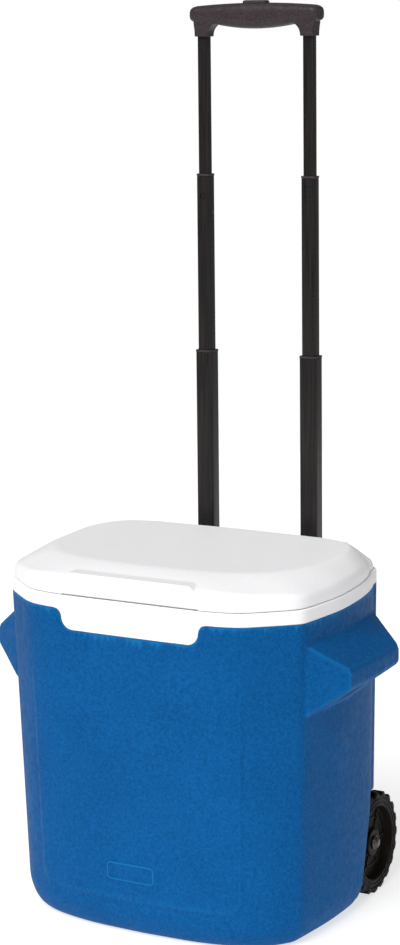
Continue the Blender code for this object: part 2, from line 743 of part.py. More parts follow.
def make_brackets():
    bracket(BRACKET_TOP, False, "handle_bracket_top")
    bracket(BRACKET_FOOT, True, "handle_bracket_foot")
    for level, span in (("top", BRACKET_TOP), ("foot", BRACKET_FOOT)):
        for side, name in ((-1, "left"), (1, "right")):
            centre = (side * SCREW_X, sum(span) / 2)
            screw = rod("y", 2.0 * MM, centre, 124.5 * MM, WEB_REAR + 1 * MM,
                        name="bracket_screw_%s_%s" % (level, name), steps=12)
            rings = []
            for radius, y in ((4.2, 140.3), (4.2, 141.6), (3.2, 142.8), (1.2, 143.3)):
                rings.append([(a, y * MM, b) for a, b in circle(radius * MM, centre, 16)])
            add(screw, loft(rings))
            finish(screw)


# ---------------------------------------------------------------- grip

def grip_ring(x, shrink=0.0):
    """Upright rounded section of the grip's barrel at a place along it."""
    t = min(1.0, abs(x) / GRIP_HALF)
    top = GRIP_TOP - 3.5 * MM * t * t
    rise = min(1.0, abs(x) / GRIP_ARCH)
    bottom = GRIP_BELLY + 4.5 * MM * rise * rise
    if abs(x) > GRIP_ARCH:
        bottom += 3.5 * MM * (abs(x) - GRIP_ARCH) / (GRIP_HALF - GRIP_ARCH)
    depth = GRIP_DEPTH
    end = max(0.0, (abs(x) - GRIP_HALF + GRIP_END) / GRIP_END)
    if end:
        top -= 2.0 * MM * end * end
        bottom += 1.0 * MM * end * end
        depth -= 3.0 * MM * end * end
    top, bottom, depth = top - shrink, bottom + shrink, depth - shrink
    middle, height = (top + bottom) / 2, (top - bottom) / 2
    ring = []
    for i in range(14):
        turn = 2 * math.pi * i / 14
        ca, sa = math.cos(turn), math.sin(turn)
        ring.append((x, TUBE_Y + depth * math.copysign(abs(ca) ** 0.75, ca),
                     middle + height * math.copysign(abs(sa) ** 0.75, sa)))
    return ring


def grip_barrel(reach, shrink):
    stations = [-1, -0.96, -0.88, -0.56, -0.3, 0, 0.3, 0.56, 0.88, 0.96, 1]
    return loft([grip_ring(reach * s, shrink) for s in stations])


def socket(side):
    """Leg of the grip over a tube's end, flaring towards the barrel on its inner side."""
    rings = []
    for rise, near, far in ((0, 58, 75), (5.3, 57.3, 75.2), (10.3, 54.5, 75.8),
                            (14.3, 50, 76.4), (18.8, 50, 76.6)):
        depth = 9.5 * MM
        outline = rounded_rectangle((far - near) / 2 * MM, -depth, depth, 3.5 * MM, 3)
        middle = side * (near + far) / 2 * MM
        rings.append([(middle + a, TUBE_Y + b, SOCKET_Z + rise * MM) for a, b in outline])
    return loft(rings)


def grip_half(name, low, high):
    """One half shell of the grip: all of it but the span of depth from low to high."""
    half = grip_barrel(GRIP_HALF, 0)
    half.name = name
    for side in (-1, 1):
        add(half, socket(side))
    room = grip_barrel(73 * MM, 2.4 * MM)
    for side in (-1, 1):
        centre = (side * GRIP_SCREW[0], GRIP_SCREW[1])
        cut(room, rod("y", GRIP_BOSS_R, centre, 130 * MM, 160 * MM, steps=12))
    cut(half, room)
    for side in (-1, 1):
        cut(half, tube_solid(UPPER, side * TUBE_X, (SOCKET_Z - MM, UPPER_Z[1] + 3 * MM), GAP))
        centre = (side * GRIP_SCREW[0], GRIP_SCREW[1])
        cut(half, rod("y", 1.6 * MM, centre, 139 * MM, 160 * MM, steps=8))
        cut(half, rod("y", 2.7 * MM, centre, 153.6 * MM, 162 * MM, steps=12))
    well_x, well_y = BUTTON[0] + 0.5 * MM, BUTTON[1] + 0.5 * MM
    cut(half, block((-well_x, well_x), (TUBE_Y - well_y, TUBE_Y + well_y), (983 * MM, 998 * MM)))
    cut(half, block((-100 * MM, 100 * MM), (low, high), (940 * MM, 1000 * MM)))
    half.data.name = name
    return finish(half)


def make_grip():
    seam = 0.15 * MM
    grip_half("grip_front", TUBE_Y - seam, TUBE_Y + 20 * MM)
    grip_half("grip_rear", TUBE_Y - 20 * MM, TUBE_Y + seam)
    for side, name in ((-1, "left"), (1, "right")):
        centre = (side * GRIP_SCREW[0], GRIP_SCREW[1])
        screw = rod("y", 1.2 * MM, centre, 140 * MM, 154.5 * MM, name="grip_screw_" + name,
                    steps=8)
        rings = []
        for radius, y in ((2.3, 153.9), (2.3, 154.9), (1.3, 155.6)):
            rings.append([(a, y * MM, b) for a, b in circle(radius * MM, centre, 10)])
        add(screw, loft(rings))
        finish(screw)


def make_button():
    half_x, half_y, low, high = BUTTON
    rings = []
    for z, shrink in ((low, 0), (high - 2 * MM, 0), (high - 0.6 * MM, 0.7 * MM),
                      (high, 2.2 * MM)):
        outline = rounded_rectangle(half_x - shrink, shrink - half_y, half_y - shrink,
                                    3 * MM, 3)
        rings.append([(a, TUBE_Y + b, z) for a, b in outline])
    loft(rings, "grip_button", "black")
    bar = block((-69.5 * MM, 69.5 * MM), (TUBE_Y - 2.2 * MM, TUBE_Y + 2.2 * MM), BAR_Z,
                "release_bar", "black")
    bar.data.name = "release_bar"
    for side, name in ((-1, "left"), (1, "right")):
        rod("z", 1.5 * MM, (side * TUBE_X, TUBE_Y), 771 * MM, BAR_Z[0] - GAP,
            name="push_rod_" + name, steps=10)


def make_spring():
    """Helical spring that lifts the release bar, its ends flush with floor and bar."""
    low, high = GRIP_BELLY + 3.3 * MM, BAR_Z[0] - GAP
    wire, radius, turns, steps = 0.45 * MM, 3.0 * MM, 4, 10
    low, high = low + wire, high - wire
    rings = []
    total = turns * steps
    for i in range(total + 1):
        turn = 2 * math.pi * i / steps
        centre = Vector((radius * math.cos(turn), TUBE_Y + radius * math.sin(turn),
                         low + (high - low) * i / total))
        outward = Vector((math.cos(turn), math.sin(turn), 0))
        ring = []
        for j in range(4):
            spin = 2 * math.pi * j / 4
            ring.append(tuple(centre + outward * wire * math.cos(spin)
                              + Vector((0, 0, wire * math.sin(spin)))))
        rings.append(ring)
    return loft(rings, "button_spring", "steel")


# ---------------------------------------------------------------- hinge pins and joints

def make_hinge_pins():
    for side, name in ((-1, "left"), (1, "right")):
        reach = sorted((side * (NOTCH_X[0] + 0.8 * MM), side * (NOTCH_X[1] - 0.8 * MM)))
        rod("x", PIN_R, (HINGE_Y, HINGE_Z), *reach, name="hinge_pin_" + name, steps=16)


def hang_on(pivot, place, names):
    """Parent pieces to an empty that stands on their joint's axis."""
    empty = bpy.data.objects.new(pivot, None)
    empty.location = place
    bpy.context.collection.objects.link(empty)
    for name in names:
        piece = bpy.data.objects[name]
        piece.data.transform(Matrix.Translation(-Vector(place)))
        piece.parent = empty


def pair(*names):
    return [name + side for name in names for side in ("_left", "_right")]


def make_joints():
    middle = TUBE_Y
    hang_on("lid_pivot", (0, HINGE_Y, HINGE_Z), ["lid_top", "lid_panel", "lid_foam"])
    for side, name in ((-1, "left"), (1, "right")):
        hang_on("wheel_pivot_" + name, (side * WHEEL_X[0], WHEEL_Y, WHEEL_R), ["wheel_" + name])
    hang_on("lower_stage", (0, middle, LOWER_Z[0]),
            pair("lower_tube", "lower_collar", "lower_slider"))
    hang_on("middle_stage", (0, middle, MIDDLE_Z[0]),
            pair("middle_tube", "middle_collar", "middle_slider", "lock_button"))
    hang_on("upper_stage", (0, middle, UPPER_Z[0]),
            pair("upper_tube", "upper_slider", "grip_screw")
            + ["grip_front", "grip_rear", "button_spring"])
    hang_on("button_travel", (0, middle, BUTTON[2]),
            pair("push_rod") + ["grip_button", "release_bar"])


def main():
    clear_scene()
    make_outer_shell()
    make_foam_core()
    make_inner_liner()
    make_lid_top()
    make_lid_panel()
    make_lid_foam()
    for side, name in ((-1, "left"), (1, "right")):
        make_wheel(side, "wheel_" + name)
    make_axle_parts()
    make_tubes()
    make_brackets()
    make_grip()
    make_button()
    make_spring()
    make_hinge_pins()
    make_joints()


main()
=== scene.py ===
"""Looks of the wheeled cooler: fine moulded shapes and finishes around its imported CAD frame.

Metres, +Z up, front facing -Y. Every visible piece rides on the CAD body it belongs to.
"""
import json
import math

import bmesh
import bpy
import numpy as np
from mathutils import Matrix, Vector


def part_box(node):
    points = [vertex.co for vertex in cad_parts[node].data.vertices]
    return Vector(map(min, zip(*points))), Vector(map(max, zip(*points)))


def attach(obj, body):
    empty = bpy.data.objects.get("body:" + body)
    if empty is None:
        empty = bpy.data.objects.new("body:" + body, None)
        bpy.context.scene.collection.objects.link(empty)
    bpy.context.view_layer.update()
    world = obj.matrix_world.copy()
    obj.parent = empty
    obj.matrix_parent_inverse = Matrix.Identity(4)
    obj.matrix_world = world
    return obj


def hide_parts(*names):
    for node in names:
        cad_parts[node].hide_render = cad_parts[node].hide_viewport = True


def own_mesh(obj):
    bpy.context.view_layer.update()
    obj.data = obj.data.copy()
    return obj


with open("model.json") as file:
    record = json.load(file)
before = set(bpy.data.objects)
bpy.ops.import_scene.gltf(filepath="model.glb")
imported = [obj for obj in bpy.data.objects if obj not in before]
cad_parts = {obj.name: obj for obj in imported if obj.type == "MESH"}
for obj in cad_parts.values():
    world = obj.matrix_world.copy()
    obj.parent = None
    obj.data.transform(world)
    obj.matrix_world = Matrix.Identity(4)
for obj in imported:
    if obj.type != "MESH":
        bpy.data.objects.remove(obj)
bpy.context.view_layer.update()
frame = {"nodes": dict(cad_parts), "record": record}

MM = 0.001
GAP = 0.3 * MM
SIDES = ((-1, "left"), (1, "right"))

# Body, lid and tub. Lengths are in metres; outlines given as lists of points are in
# millimetres. Most values are the CAD's own. Those marked "looks" differ from it a little.
RIM_Z = 354.5 * MM
FLANGE_Z = 369.0 * MM
BASE_ROUND = (21.0 * MM, 34.0 * MM)
WALL = 3.0 * MM
FRONT_TOP = [(0, -157.5), (60, -157.2), (98.5, -155.7), (127.5, -147.6), (153, -128), (179, -105)]
FRONT_FOOT = [(0, -150), (60, -147.5), (100.5, -140.5), (126, -132), (149.5, -116.5), (169.5, -92)]
SIDE_TOP = [(179, -105), (184, -71), (188, -30), (185.5, 20), (179, 60), (169.5, 91)]
SIDE_FOOT = [(169.5, -92), (173.5, -59), (177.5, -16), (178, 31), (174.5, 66), (163.5, 92)]
LID_SIDE = [(179, -105), (184, -71), (188, -30), (185, 20), (178, 59), (168, 88)]
BACK_Y = 124.0 * MM
BACK_CORNER_X = 136.0 * MM
PANEL_SWELL = 1.9 * MM             # looks
PANEL = (121 * MM, 8 * MM, 40 * MM, 18 * MM)    # half width, its growth to the rim, foot, corner
PANEL_FADE_Z = (315 * MM, 245 * MM)
BADGE = (63 * MM, 83 * MM, 29 * MM, 5 * MM)     # foot, top, half width, corner
BADGE_X = -4 * MM
PAD = (92 * MM, 132 * MM, 20 * MM, 343 * MM)
SCREW_X = 25 * MM
SCREW_Z = (333 * MM, 29 * MM)

TUB_FLOOR_Z = 45.0 * MM
TUB_FOOT = (108 * MM, -112 * MM, 66 * MM)
TUB_RIM = (138 * MM, -130 * MM, 96 * MM)
TUB_CORNER = 38.0 * MM

APRON_EDGE = [(83, 346), (85, 351), (88, 353.5), (93, 354.8)]
APRON_Z = 332.0 * MM
APRON_PROUD = 0.1 * MM             # looks

LID_Z = 370.0 * MM
LID_TOP_Z = 401.0 * MM
LID_LIP = 0.5 * MM                 # looks
LID_PLATEAU = [(0, -117), (54, -113), (98, -105), (128, -88), (152, -50), (159, 0),
               (160, 40), (142, 78), (102, 92), (76, 95), (0, 95)]
LID_EDGE_H = [(35, 20), (62, 14), (100, 14), (125, 6)]
LID_SWELL = 1.35
TAB_HALF = 79.0 * MM
TAB_Z = (372.0 * MM, 395.0 * MM)
TAB_FRONT = -158.0 * MM

HINGE = (120.0 * MM, 387.5 * MM)
KNUCKLE_R = 4.3 * MM               # looks
PIN_R = 2.0 * MM
NOTCH_X = (91.0 * MM, 123.0 * MM)
NOTCH_Y = 108.0 * MM
LID_KNUCKLE_X = (99.0 * MM, 115.0 * MM)
BODY_KNUCKLES = [(91.6 * MM, 98.6 * MM), (115.4 * MM, 122.4 * MM)]

WING_GAP_Y = (-60 * MM, 36 * MM)
WHEEL_R = 57.5 * MM
WHEEL_Y = 95.0 * MM
WHEEL_X = (136.0 * MM, 171.5 * MM)
LUGS = 20
LUG_DEPTH = 3.4 * MM               # looks
AXLE_R = 4.0 * MM
POCKET_R = 59.5 * MM
BELOW_BASE = -6 * MM               # how far tools that cut the base reach past it
POCKET_X = (131.0 * MM, 172.0 * MM)
POCKET_EDGE = [(39, -6), (42, 19), (46, 36), (51, 56), (58, 75), (65, 92), (73, 104), (84, 116)]

# Telescoping handle: width, depth, wall of each tube, and their ends
TUBE_X = 66.5 * MM
TUBE_Y = 145.5 * MM
FIXED = (24.8 * MM, 21.3 * MM, 1.4 * MM)
LOWER = (21.3 * MM, 17.8 * MM, 1.7 * MM)
MIDDLE = (17.2 * MM, 13.7 * MM, 1.4 * MM)
UPPER = (13.7 * MM, 10.3 * MM, 1.2 * MM)
FIXED_Z = (25.0 * MM, 341.0 * MM)
LOWER_Z = (298.0 * MM, 596.6 * MM)
MIDDLE_Z = (551.0 * MM, 799.4 * MM)
UPPER_Z = (744.0 * MM, 971.0 * MM)
COLLAR_H = 2.5 * MM
COLLAR_PROUD = 0.4 * MM
NUB_Z = 755.5 * MM
NUB_PROUD = 1.3 * MM
NUB_RELIEF_Z = 552.5 * MM

GRIP_HALF = 80.0 * MM
GRIP_END = 6.5 * MM
GRIP_ARCH = 47 * MM
GRIP_DEPTH = 12.5 * MM
GRIP_TOP = 992.0 * MM              # looks
GRIP_BELLY = 963.1 * MM            # looks
GRIP_SCREW = (35 * MM, 973.3 * MM)
SOCKET_Z = 954.7 * MM              # lower than this meets the middle collars
BUTTON = (15 * MM, 6 * MM, 985.3 * MM, 994.9 * MM)     # looks

# Camera fitted to the photograph: turn, pitch and roll in degrees, place, lens, shift
CAMERA_TURNS = (28.605, 7.926, -0.5685)
CAMERA_SPOT = (1.24246, -2.27232, 0.96532)
CAMERA_LENS = 91.42
CAMERA_SHIFT = -0.1177

# Studio: floor reach, the sky's strength on the object and behind it
FLOOR_REACH = 2.6
SKY_LIGHT, SKY_SEEN = 0.27, 1.0


# ---------------------------------------------------------------- meshes

def new_object(name, bm, smooth=35):
    bmesh.ops.remove_doubles(bm, verts=bm.verts, dist=0.005 * MM)
    bmesh.ops.recalc_face_normals(bm, faces=bm.faces)
    mesh = bpy.data.meshes.new(name)
    bm.to_mesh(mesh)
    bm.free()
    mesh.shade_smooth()
    mesh.set_sharp_from_angle(angle=math.radians(smooth))
    made = bpy.data.objects.new(name, mesh)
    bpy.context.collection.objects.link(made)
    return made


def loft(rings, name="tool", closed=False, smooth=35):
    """Skin a list of closed rings that have the same number of points."""
    bm = bmesh.new()
    rows = [[bm.verts.new(point) for point in ring] for ring in rings]
    count = len(rows[0])
    pairs = list(zip(rows, rows[1:]))
    if closed:
        pairs.append((rows[-1], rows[0]))
    for low, high in pairs:
        for i in range(count):
            j = (i + 1) % count
            bm.faces.new((low[i], low[j], high[j], high[i]))
    if not closed:
        for row in (rows[0], rows[-1]):
            bmesh.ops.triangulate(bm, faces=[bm.faces.new(row)])
    return new_object(name, bm, smooth)


def prism(outline, axis, low, high, name="tool"):
    """Extrude a flat outline along X, Y or Z; the outline gives the other two."""
    place = {
        "x": lambda a, b, t: (t, a, b),
        "y": lambda a, b, t: (a, t, b),
        "z": lambda a, b, t: (a, b, t),
    }[axis]
    return loft([[place(a, b, t) for a, b in outline] for t in (low, high)], name)


def block(x, y, z, name="tool"):
    outline = [(x[0], y[0]), (x[1], y[0]), (x[1], y[1]), (x[0], y[1])]
    return prism(outline, "z", z[0], z[1], name)


def circle(radius, centre=(0, 0), steps=48):
    turns = [2 * math.pi * (i + 0.5) / steps for i in range(steps)]
    return [(centre[0] + radius * math.cos(t), centre[1] + radius * math.sin(t)) for t in turns]


def rod(axis, radius, centre, low, high, name="tool", steps=48):
    return prism(circle(radius, centre, steps), axis, low, high, name)


def bake(target):
    """Replace the mesh by its evaluated one and drop the modifiers."""
    graph = bpy.context.evaluated_depsgraph_get()
    result = bpy.data.meshes.new_from_object(target.evaluated_get(graph))
    target.modifiers.clear()
    target.data = result
    result.name = target.name
    return target


def combine(target, tool, operation):
    cutter = target.modifiers.new("cut", "BOOLEAN")
    cutter.operation = operation
    cutter.solver = "MANIFOLD"
    cutter.object = tool
    bake(target)
    bpy.data.objects.remove(tool, do_unlink=True)
    return target


def add(target, *tools):
    for tool in tools:
        combine(target, tool, "UNION")
    return target


def cut(target, *tools):
    for tool in tools:
        combine(target, tool, "DIFFERENCE")
    return target


def keep(target, tool):
    return combine(target, tool, "INTERSECT")


def soften(target, voxel, rounds, share=1.0):
    """Round every edge: remesh to even voxels, relax them, and thin out the flat parts."""
    skin = target.modifiers.new("skin", "REMESH")
    skin.mode = "VOXEL"
    skin.voxel_size = voxel
    relax = target.modifiers.new("relax", "SMOOTH")
    relax.factor = 0.5
    relax.iterations = rounds
    if share < 1:
        thin = target.modifiers.new("thin", "DECIMATE")
        thin.ratio = share
    return bake(target)


def shade(target, smooth=40):
    target.data.shade_smooth()
    target.data.set_sharp_from_angle(angle=math.radians(smooth))
    return target


# ---------------------------------------------------------------- outlines

def curve_through(points, steps=8):
    """Catmull-Rom curve through the points, in metres, with its first and last kept."""
    spots = [Vector((x * MM, y * MM)) for x, y in points]
    spots = [2 * spots[0] - spots[1]] + spots + [2 * spots[-1] - spots[-2]]
    out = []
    for a, b, c, d in zip(spots, spots[1:], spots[2:], spots[3:]):
        for i in range(steps):
            t = i / steps
            out.append(0.5 * ((2 * b) + (c - a) * t + (2 * a - 5 * b + 4 * c - d) * t * t
                              + (3 * b - a - 3 * c + d) * t ** 3))
    out.append(spots[-2])
    return out


def mirrored(half):
    """Close a right half outline, given front middle to back middle, over X = 0."""
    return half + [Vector((-p.x, p.y)) for p in reversed(half) if p.x > 1e-6]


def ease_corner(points, joint, reach, rounds):
    """Round the meeting of two curves: relax the points within reach of it."""
    for _ in range(rounds):
        eased = list(points)
        for i in range(joint - reach, joint + reach + 1):
            eased[i] = 0.5 * points[i] + 0.25 * (points[i - 1] + points[i + 1])
        points = eased
    return points


def body_outline(front, side, rounds, corner_steps=14):
    """Closed outline of the body or lid from its right half's front and side curves."""
    facing = curve_through(front)[:-1]
    half = ease_corner(facing + curve_through(side), len(facing), 8, rounds)
    start = half[-1]
    across, along = start.x - BACK_CORNER_X, BACK_Y - start.y
    for i in range(1, corner_steps + 1):
        turn = math.radians(90 * i / corner_steps)
        half.append(Vector((BACK_CORNER_X + across * math.cos(turn),
                            start.y + along * math.sin(turn))))
    return mirrored(half + [Vector((0, BACK_Y))])


def inset_outline(outline, distance):
    """Move a closed counter-clockwise outline inwards by a distance."""
    if abs(distance) < 1e-9:
        return list(outline)
    out = []
    count = len(outline)
    for i, point in enumerate(outline):
        before = (point - outline[i - 1]).normalized()
        after = (outline[(i + 1) % count] - point).normalized()
        normal = Vector((-before.y - after.y, before.x + after.x)).normalized()
        lean = max(0.5, normal.dot(Vector((-after.y, after.x))))
        out.append(point + normal * distance / lean)
    return out


TOP_OUTLINE = body_outline(FRONT_TOP, SIDE_TOP, 4)
LID_OUTLINE = body_outline(FRONT_TOP, LID_SIDE, 14)
FOOT_OUTLINE = body_outline(FRONT_FOOT, SIDE_FOOT, 4)


def body_ring(z, inset=0.0):
    """Outline of the tapering body at a height, moved inwards."""
    t = max(0.0, z / RIM_Z)
    mixed = [a.lerp(b, t) for a, b in zip(FOOT_OUTLINE, TOP_OUTLINE)]
    return inset_outline(mixed, inset)


def body_volume(inset, low, high, name="tool"):
    """Tapered body with its rounded foot, offset inwards; low is its underside."""
    across, up = (size - max(0.0, low) for size in BASE_ROUND)
    rings = []
    for i in range(11):
        turn = math.radians(90 - 90 * i / 10)
        z = low + up * (1 - math.sin(turn))
        side = inset + across * (1 - math.cos(turn))
        rings.append([(p.x, p.y, z) for p in body_ring(z, side)])
    for z in np.linspace(low + up, high, 8)[1:]:
        rings.append([(p.x, p.y, z) for p in body_ring(z, inset)])
    return loft(rings, name)


def rounded_rectangle(half_x, low_y, high_y, radius, steps=8):
    corners = [(half_x - radius, low_y + radius, -90), (half_x - radius, high_y - radius, 0),
               (radius - half_x, high_y - radius, 90), (radius - half_x, low_y + radius, 180)]
    out = []
    for x, y, start in corners:
        for i in range(steps + 1):
            turn = math.radians(start + 90 * i / steps)
            out.append((x + radius * math.cos(turn), y + radius * math.sin(turn)))
    return out


def tub_volume(outset, low, high, foot_round=0.0, lip=0.0, steps=16):
    """The tub's tapering room, grown outwards, its floor rounded and its mouth flared."""
    levels = []
    for i in range(9):
        turn = math.radians(90 - 90 * i / 8)
        levels.append((low + foot_round * (1 - math.sin(turn)),
                       -foot_round * (1 - math.cos(turn))))
    if not foot_round:
        levels = levels[:1]
    if lip:
        for i in range(7):
            turn = math.radians(90 * i / 6)
            levels.append((FLANGE_Z - lip * (1 - math.sin(turn)), lip * (1 - math.cos(turn))))
        levels.append((high, lip * 1.02))
    else:
        levels.append((high, 0.0))
    rings = []
    for z, grow in levels:
        t = (z - TUB_FLOOR_Z) / (FLANGE_Z - TUB_FLOOR_Z)
        half, front, back = (a + (b - a) * t for a, b in zip(TUB_FOOT, TUB_RIM))
        grow += outset
        outline = rounded_rectangle(half + grow, front - grow, back + grow,
                                    TUB_CORNER + grow, steps)
        rings.append([(x, y, z) for x, y in outline])
    return loft(rings)


def wheel_arch(radius, steps=36):
    """Side view of a pocket around the axle: round on top, straight to below the base."""
    out = [(WHEEL_Y + radius, BELOW_BASE)]
    for i in range(steps + 1):
        turn = math.pi * i / steps
        out.append((WHEEL_Y + radius * math.cos(turn), WHEEL_R + radius * math.sin(turn)))
    return out + [(WHEEL_Y - radius, BELOW_BASE)]


def axle_channel(grow):
    """Slot for the axle between the two wheel pockets, open downwards."""
    return prism(wheel_arch(AXLE_R + 0.7 * MM + grow, 12), "x",
                 -POCKET_X[0] - 1 * MM, POCKET_X[0] + 1 * MM)


def apron_outline(grow, top=FLANGE_Z):
    """Front view of the apron tab: round lower corners, flaring sides."""
    radius = 14 * MM
    foot = APRON_EDGE[0][0] * MM - radius
    half = []
    for i in range(13):
        turn = math.radians(-90 + 90 * i / 12)
        half.append((foot + (radius + grow) * math.cos(turn),
                     APRON_Z + radius + (radius + grow) * math.sin(turn)))
    half += [(p.x + grow, p.y - grow) for p in curve_through(APRON_EDGE, 4)[2:]]
    half.append((APRON_EDGE[-1][0] * MM + grow, top))
    return half + [(-x, z) for x, z in reversed(half)]


# ---------------------------------------------------------------- blue shell

WING_SECTIONS = [
    (-98, 173, 179.0, 179.4, 330, 329, 326, 258, 255, 254),
    (-73, 176, 184, 215.5, 330, 304, 298, 284, 280, 255),
    (-11.5, 178, 187, 217.0, 331, 303, 297, 283, 279, 254),
    (50, 174, 181.5, 215.5, 330, 303, 297, 284, 280, 254),
    (90, 160, 167.5, 168.1, 327, 326, 323, 261, 259, 258),
]


def wing(side):
    """Solid carry handle moulded into the shell's side, before its finger hollow."""
    rings = []
    for y, deep, wall, out, z0, z1, z2, z3, z4, z5 in WING_SECTIONS:
        lip = out + (2.5 if out > 200 else 0.2)
        ring = [(deep, z0), (wall, z0), (out, z1), (lip, z2), (lip, z3), (out, z4),
                (wall - 1, z5), (deep, z5)]
        rings.append([(side * x * MM, y * MM, z * MM) for x, z in ring])
    return loft(rings)


def finger_hollow(side):
    outline = [(188, 243), (188, 314), (208, 300), (213, 294), (213, 243)]
    return prism([(side * x * MM, z * MM) for x, z in outline], "y", *WING_GAP_Y)


def smooth_step(low, high, value):
    t = np.clip((value - low) / (high - low), 0, 1)
    return t * t * (3 - 2 * t)


def swell_front_panel(shell):
    """Raise the broad front panel a little inside its soft border."""
    mesh = shell.data
    count = len(mesh.vertices)
    place = np.empty(count * 3)
    mesh.vertices.foreach_get("co", place)
    place = place.reshape(-1, 3)
    facing = np.empty(count * 3)
    mesh.vertex_normals.foreach_get("vector", facing)
    facing = facing.reshape(-1, 3)
    half, growth, foot, radius = PANEL
    half = half + growth * (place[:, 2] / RIM_Z)
    dx = np.maximum(np.abs(place[:, 0]) - (half - radius), 0)
    dz = np.maximum(foot + radius - place[:, 2], 0)
    outside = np.hypot(dx, dz) - radius
    raised = smooth_step(0.0030, -0.0030, outside) * smooth_step(-0.55, -0.85, facing[:, 1])
    raised = raised * smooth_step(*PANEL_FADE_Z, place[:, 2])
    place[:, 1] -= PANEL_SWELL * raised
    mesh.vertices.foreach_set("co", place.ravel())
    mesh.update()


def make_shell():
    shell = body_volume(0, 0, RIM_Z + 8 * MM, "shell_moulding")
    add(shell, wing(-1), wing(1))
    half, rear, foot, top = PAD
    add(shell, block((-half, half), (BACK_Y - 8 * MM, rear), (foot, top)))
    cut(shell, finger_hollow(-1), finger_hollow(1))
    for side in (-1, 1):
        cut(shell, prism(wheel_arch(POCKET_R), "x",
                         *sorted((side * POCKET_X[0], side * POCKET_X[1]))))
        edge = [(y * MM, z * MM) for y, z in POCKET_EDGE]
        edge += [(160 * MM, WHEEL_R + POCKET_R), (160 * MM, BELOW_BASE)]
        cut(shell, prism(edge, "x", *sorted((side * 166 * MM, side * 205 * MM))))
    soften(shell, 1.5 * MM, 5, 0.30)
    swell_front_panel(shell)
    cut(shell, block((-0.3, 0.3), (-0.3, 0.3), (RIM_Z, RIM_Z + 30 * MM)))
    room = body_volume(WALL, WALL, RIM_Z + 6 * MM)
    for side in (-1, 1):
        cut(room, prism(wheel_arch(POCKET_R + WALL), "x",
                        *sorted((side * (POCKET_X[0] - WALL), side * 215 * MM))))
    cut(room, axle_channel(WALL))
    cut(shell, room, axle_channel(0))
    cut(shell, prism(apron_outline(0.2 * MM, 0.4), "y", -170 * MM, -140 * MM))
    for x in (-SCREW_X, SCREW_X):
        for z in SCREW_Z:
            cut(shell, rod("y", 2.3 * MM, (x, z), 123.5 * MM, 140 * MM, steps=24))
    return shade(shell, 45)


def make_badge():
    """Blank raised frame on the front panel, following its curve."""
    rows, columns = 34, 92
    low, high, half, corner = BADGE
    front = [(p.x, p.y) for p in body_ring(low) if p.y < -0.08]
    front.sort()
    xs, ys = zip(*front)
    grid = []
    for i in range(rows + 1):
        v = i / rows
        z = low - 1 * MM + (high - low + 2 * MM) * v
        row = []
        for j in range(columns + 1):
            x = -half - 1 * MM + (2 * half + 2 * MM) * j / columns
            dx = max(abs(x) - (half - corner), 0)
            dz = max(abs(z - (low + high) / 2) - ((high - low) / 2 - corner), 0)
            reach = math.hypot(dx, dz) - corner
            rise = float(smooth_step(0.7 * MM, -0.5 * MM, reach))
            field = float(smooth_step(-1.6 * MM, -2.6 * MM, reach))
            lift = (1.4 * rise - 0.9 * field - 0.4) * MM + PANEL_SWELL
            slope = (z - low) * (-7.5 / 354.5)
            y = float(np.interp(x + BADGE_X, xs, ys)) + slope
            row.append((x + BADGE_X, y - lift, z))
        grid.append(row)
    bm = bmesh.new()
    outer = [[bm.verts.new(p) for p in row] for row in grid]
    inner = [[bm.verts.new((p[0], p[1] + 2.0 * MM, p[2])) for p in row] for row in grid]
    for sheet in (outer, inner):
        for a, b in zip(sheet, sheet[1:]):
            for j in range(columns):
                bm.faces.new((a[j], a[j + 1], b[j + 1], b[j]))
    border = [(0, j) for j in range(columns + 1)] + [(i, columns) for i in range(1, rows + 1)]
    border += [(rows, j) for j in range(columns - 1, -1, -1)]
    border += [(i, 0) for i in range(rows - 1, 0, -1)]
    for (a, b), (c, d) in zip(border, border[1:] + border[:1]):
        bm.faces.new((outer[a][b], inner[a][b], inner[c][d], outer[c][d]))
    return new_object("badge_frame", bm, 60)


# ---------------------------------------------------------------- white liner, rim and apron

def rim_ring(z, inset):
    return [(p.x, p.y, z) for p in inset_outline(TOP_OUTLINE, inset)]


def knuckle_arm(reach, front, low, high):
    """Hinge arm with its eye, open for the pin."""
    arm = block(reach, (front, HINGE[0] + 0.2 * MM), (low, high))
    add(arm, rod("x", KNUCKLE_R, HINGE, *reach, steps=64))
    return cut(arm, rod("x", PIN_R + GAP, HINGE, reach[0] - MM, reach[1] + MM, steps=32))


def make_liner():
    round_edge = 1.6 * MM
    rings = [rim_ring(RIM_Z + GAP, 0.4 * MM), rim_ring(RIM_Z + GAP + 0.5 * MM, 0)]
    for i in range(6):
        turn = math.radians(90 * i / 5)
        rings.append(rim_ring(FLANGE_Z - round_edge * (1 - math.sin(turn)),
                              round_edge * (1 - math.cos(turn))))
    liner = loft(rings, "rim_and_tub")
    cut(liner, loft([rim_ring(z, WALL) for z in (RIM_Z - 5 * MM, FLANGE_Z - WALL)]))
    apron = body_volume(-APRON_PROUD, 0, FLANGE_Z)
    cut(apron, body_volume(WALL - GAP, WALL, FLANGE_Z + 5 * MM))
    keep(apron, prism(apron_outline(0, RIM_Z + 2 * MM), "y", -170 * MM, -140 * MM))
    soften(apron, 0.7 * MM, 3)
    add(liner, apron)
    add(liner, tub_volume(WALL, TUB_FLOOR_Z - WALL, FLANGE_Z - 1 * MM, 9 * MM))
    for side in (-1, 1):
        for low, high in BODY_KNUCKLES:
            reach = sorted((side * low, side * high))
            add(liner, knuckle_arm(reach, HINGE[0] - KNUCKLE_R, FLANGE_Z - 2 * MM, HINGE[1]))
    cut(liner, tub_volume(0, TUB_FLOOR_Z, FLANGE_Z + 5 * MM, 9 * MM, 2.2 * MM))
    return shade(liner, 35)


# ---------------------------------------------------------------- lid

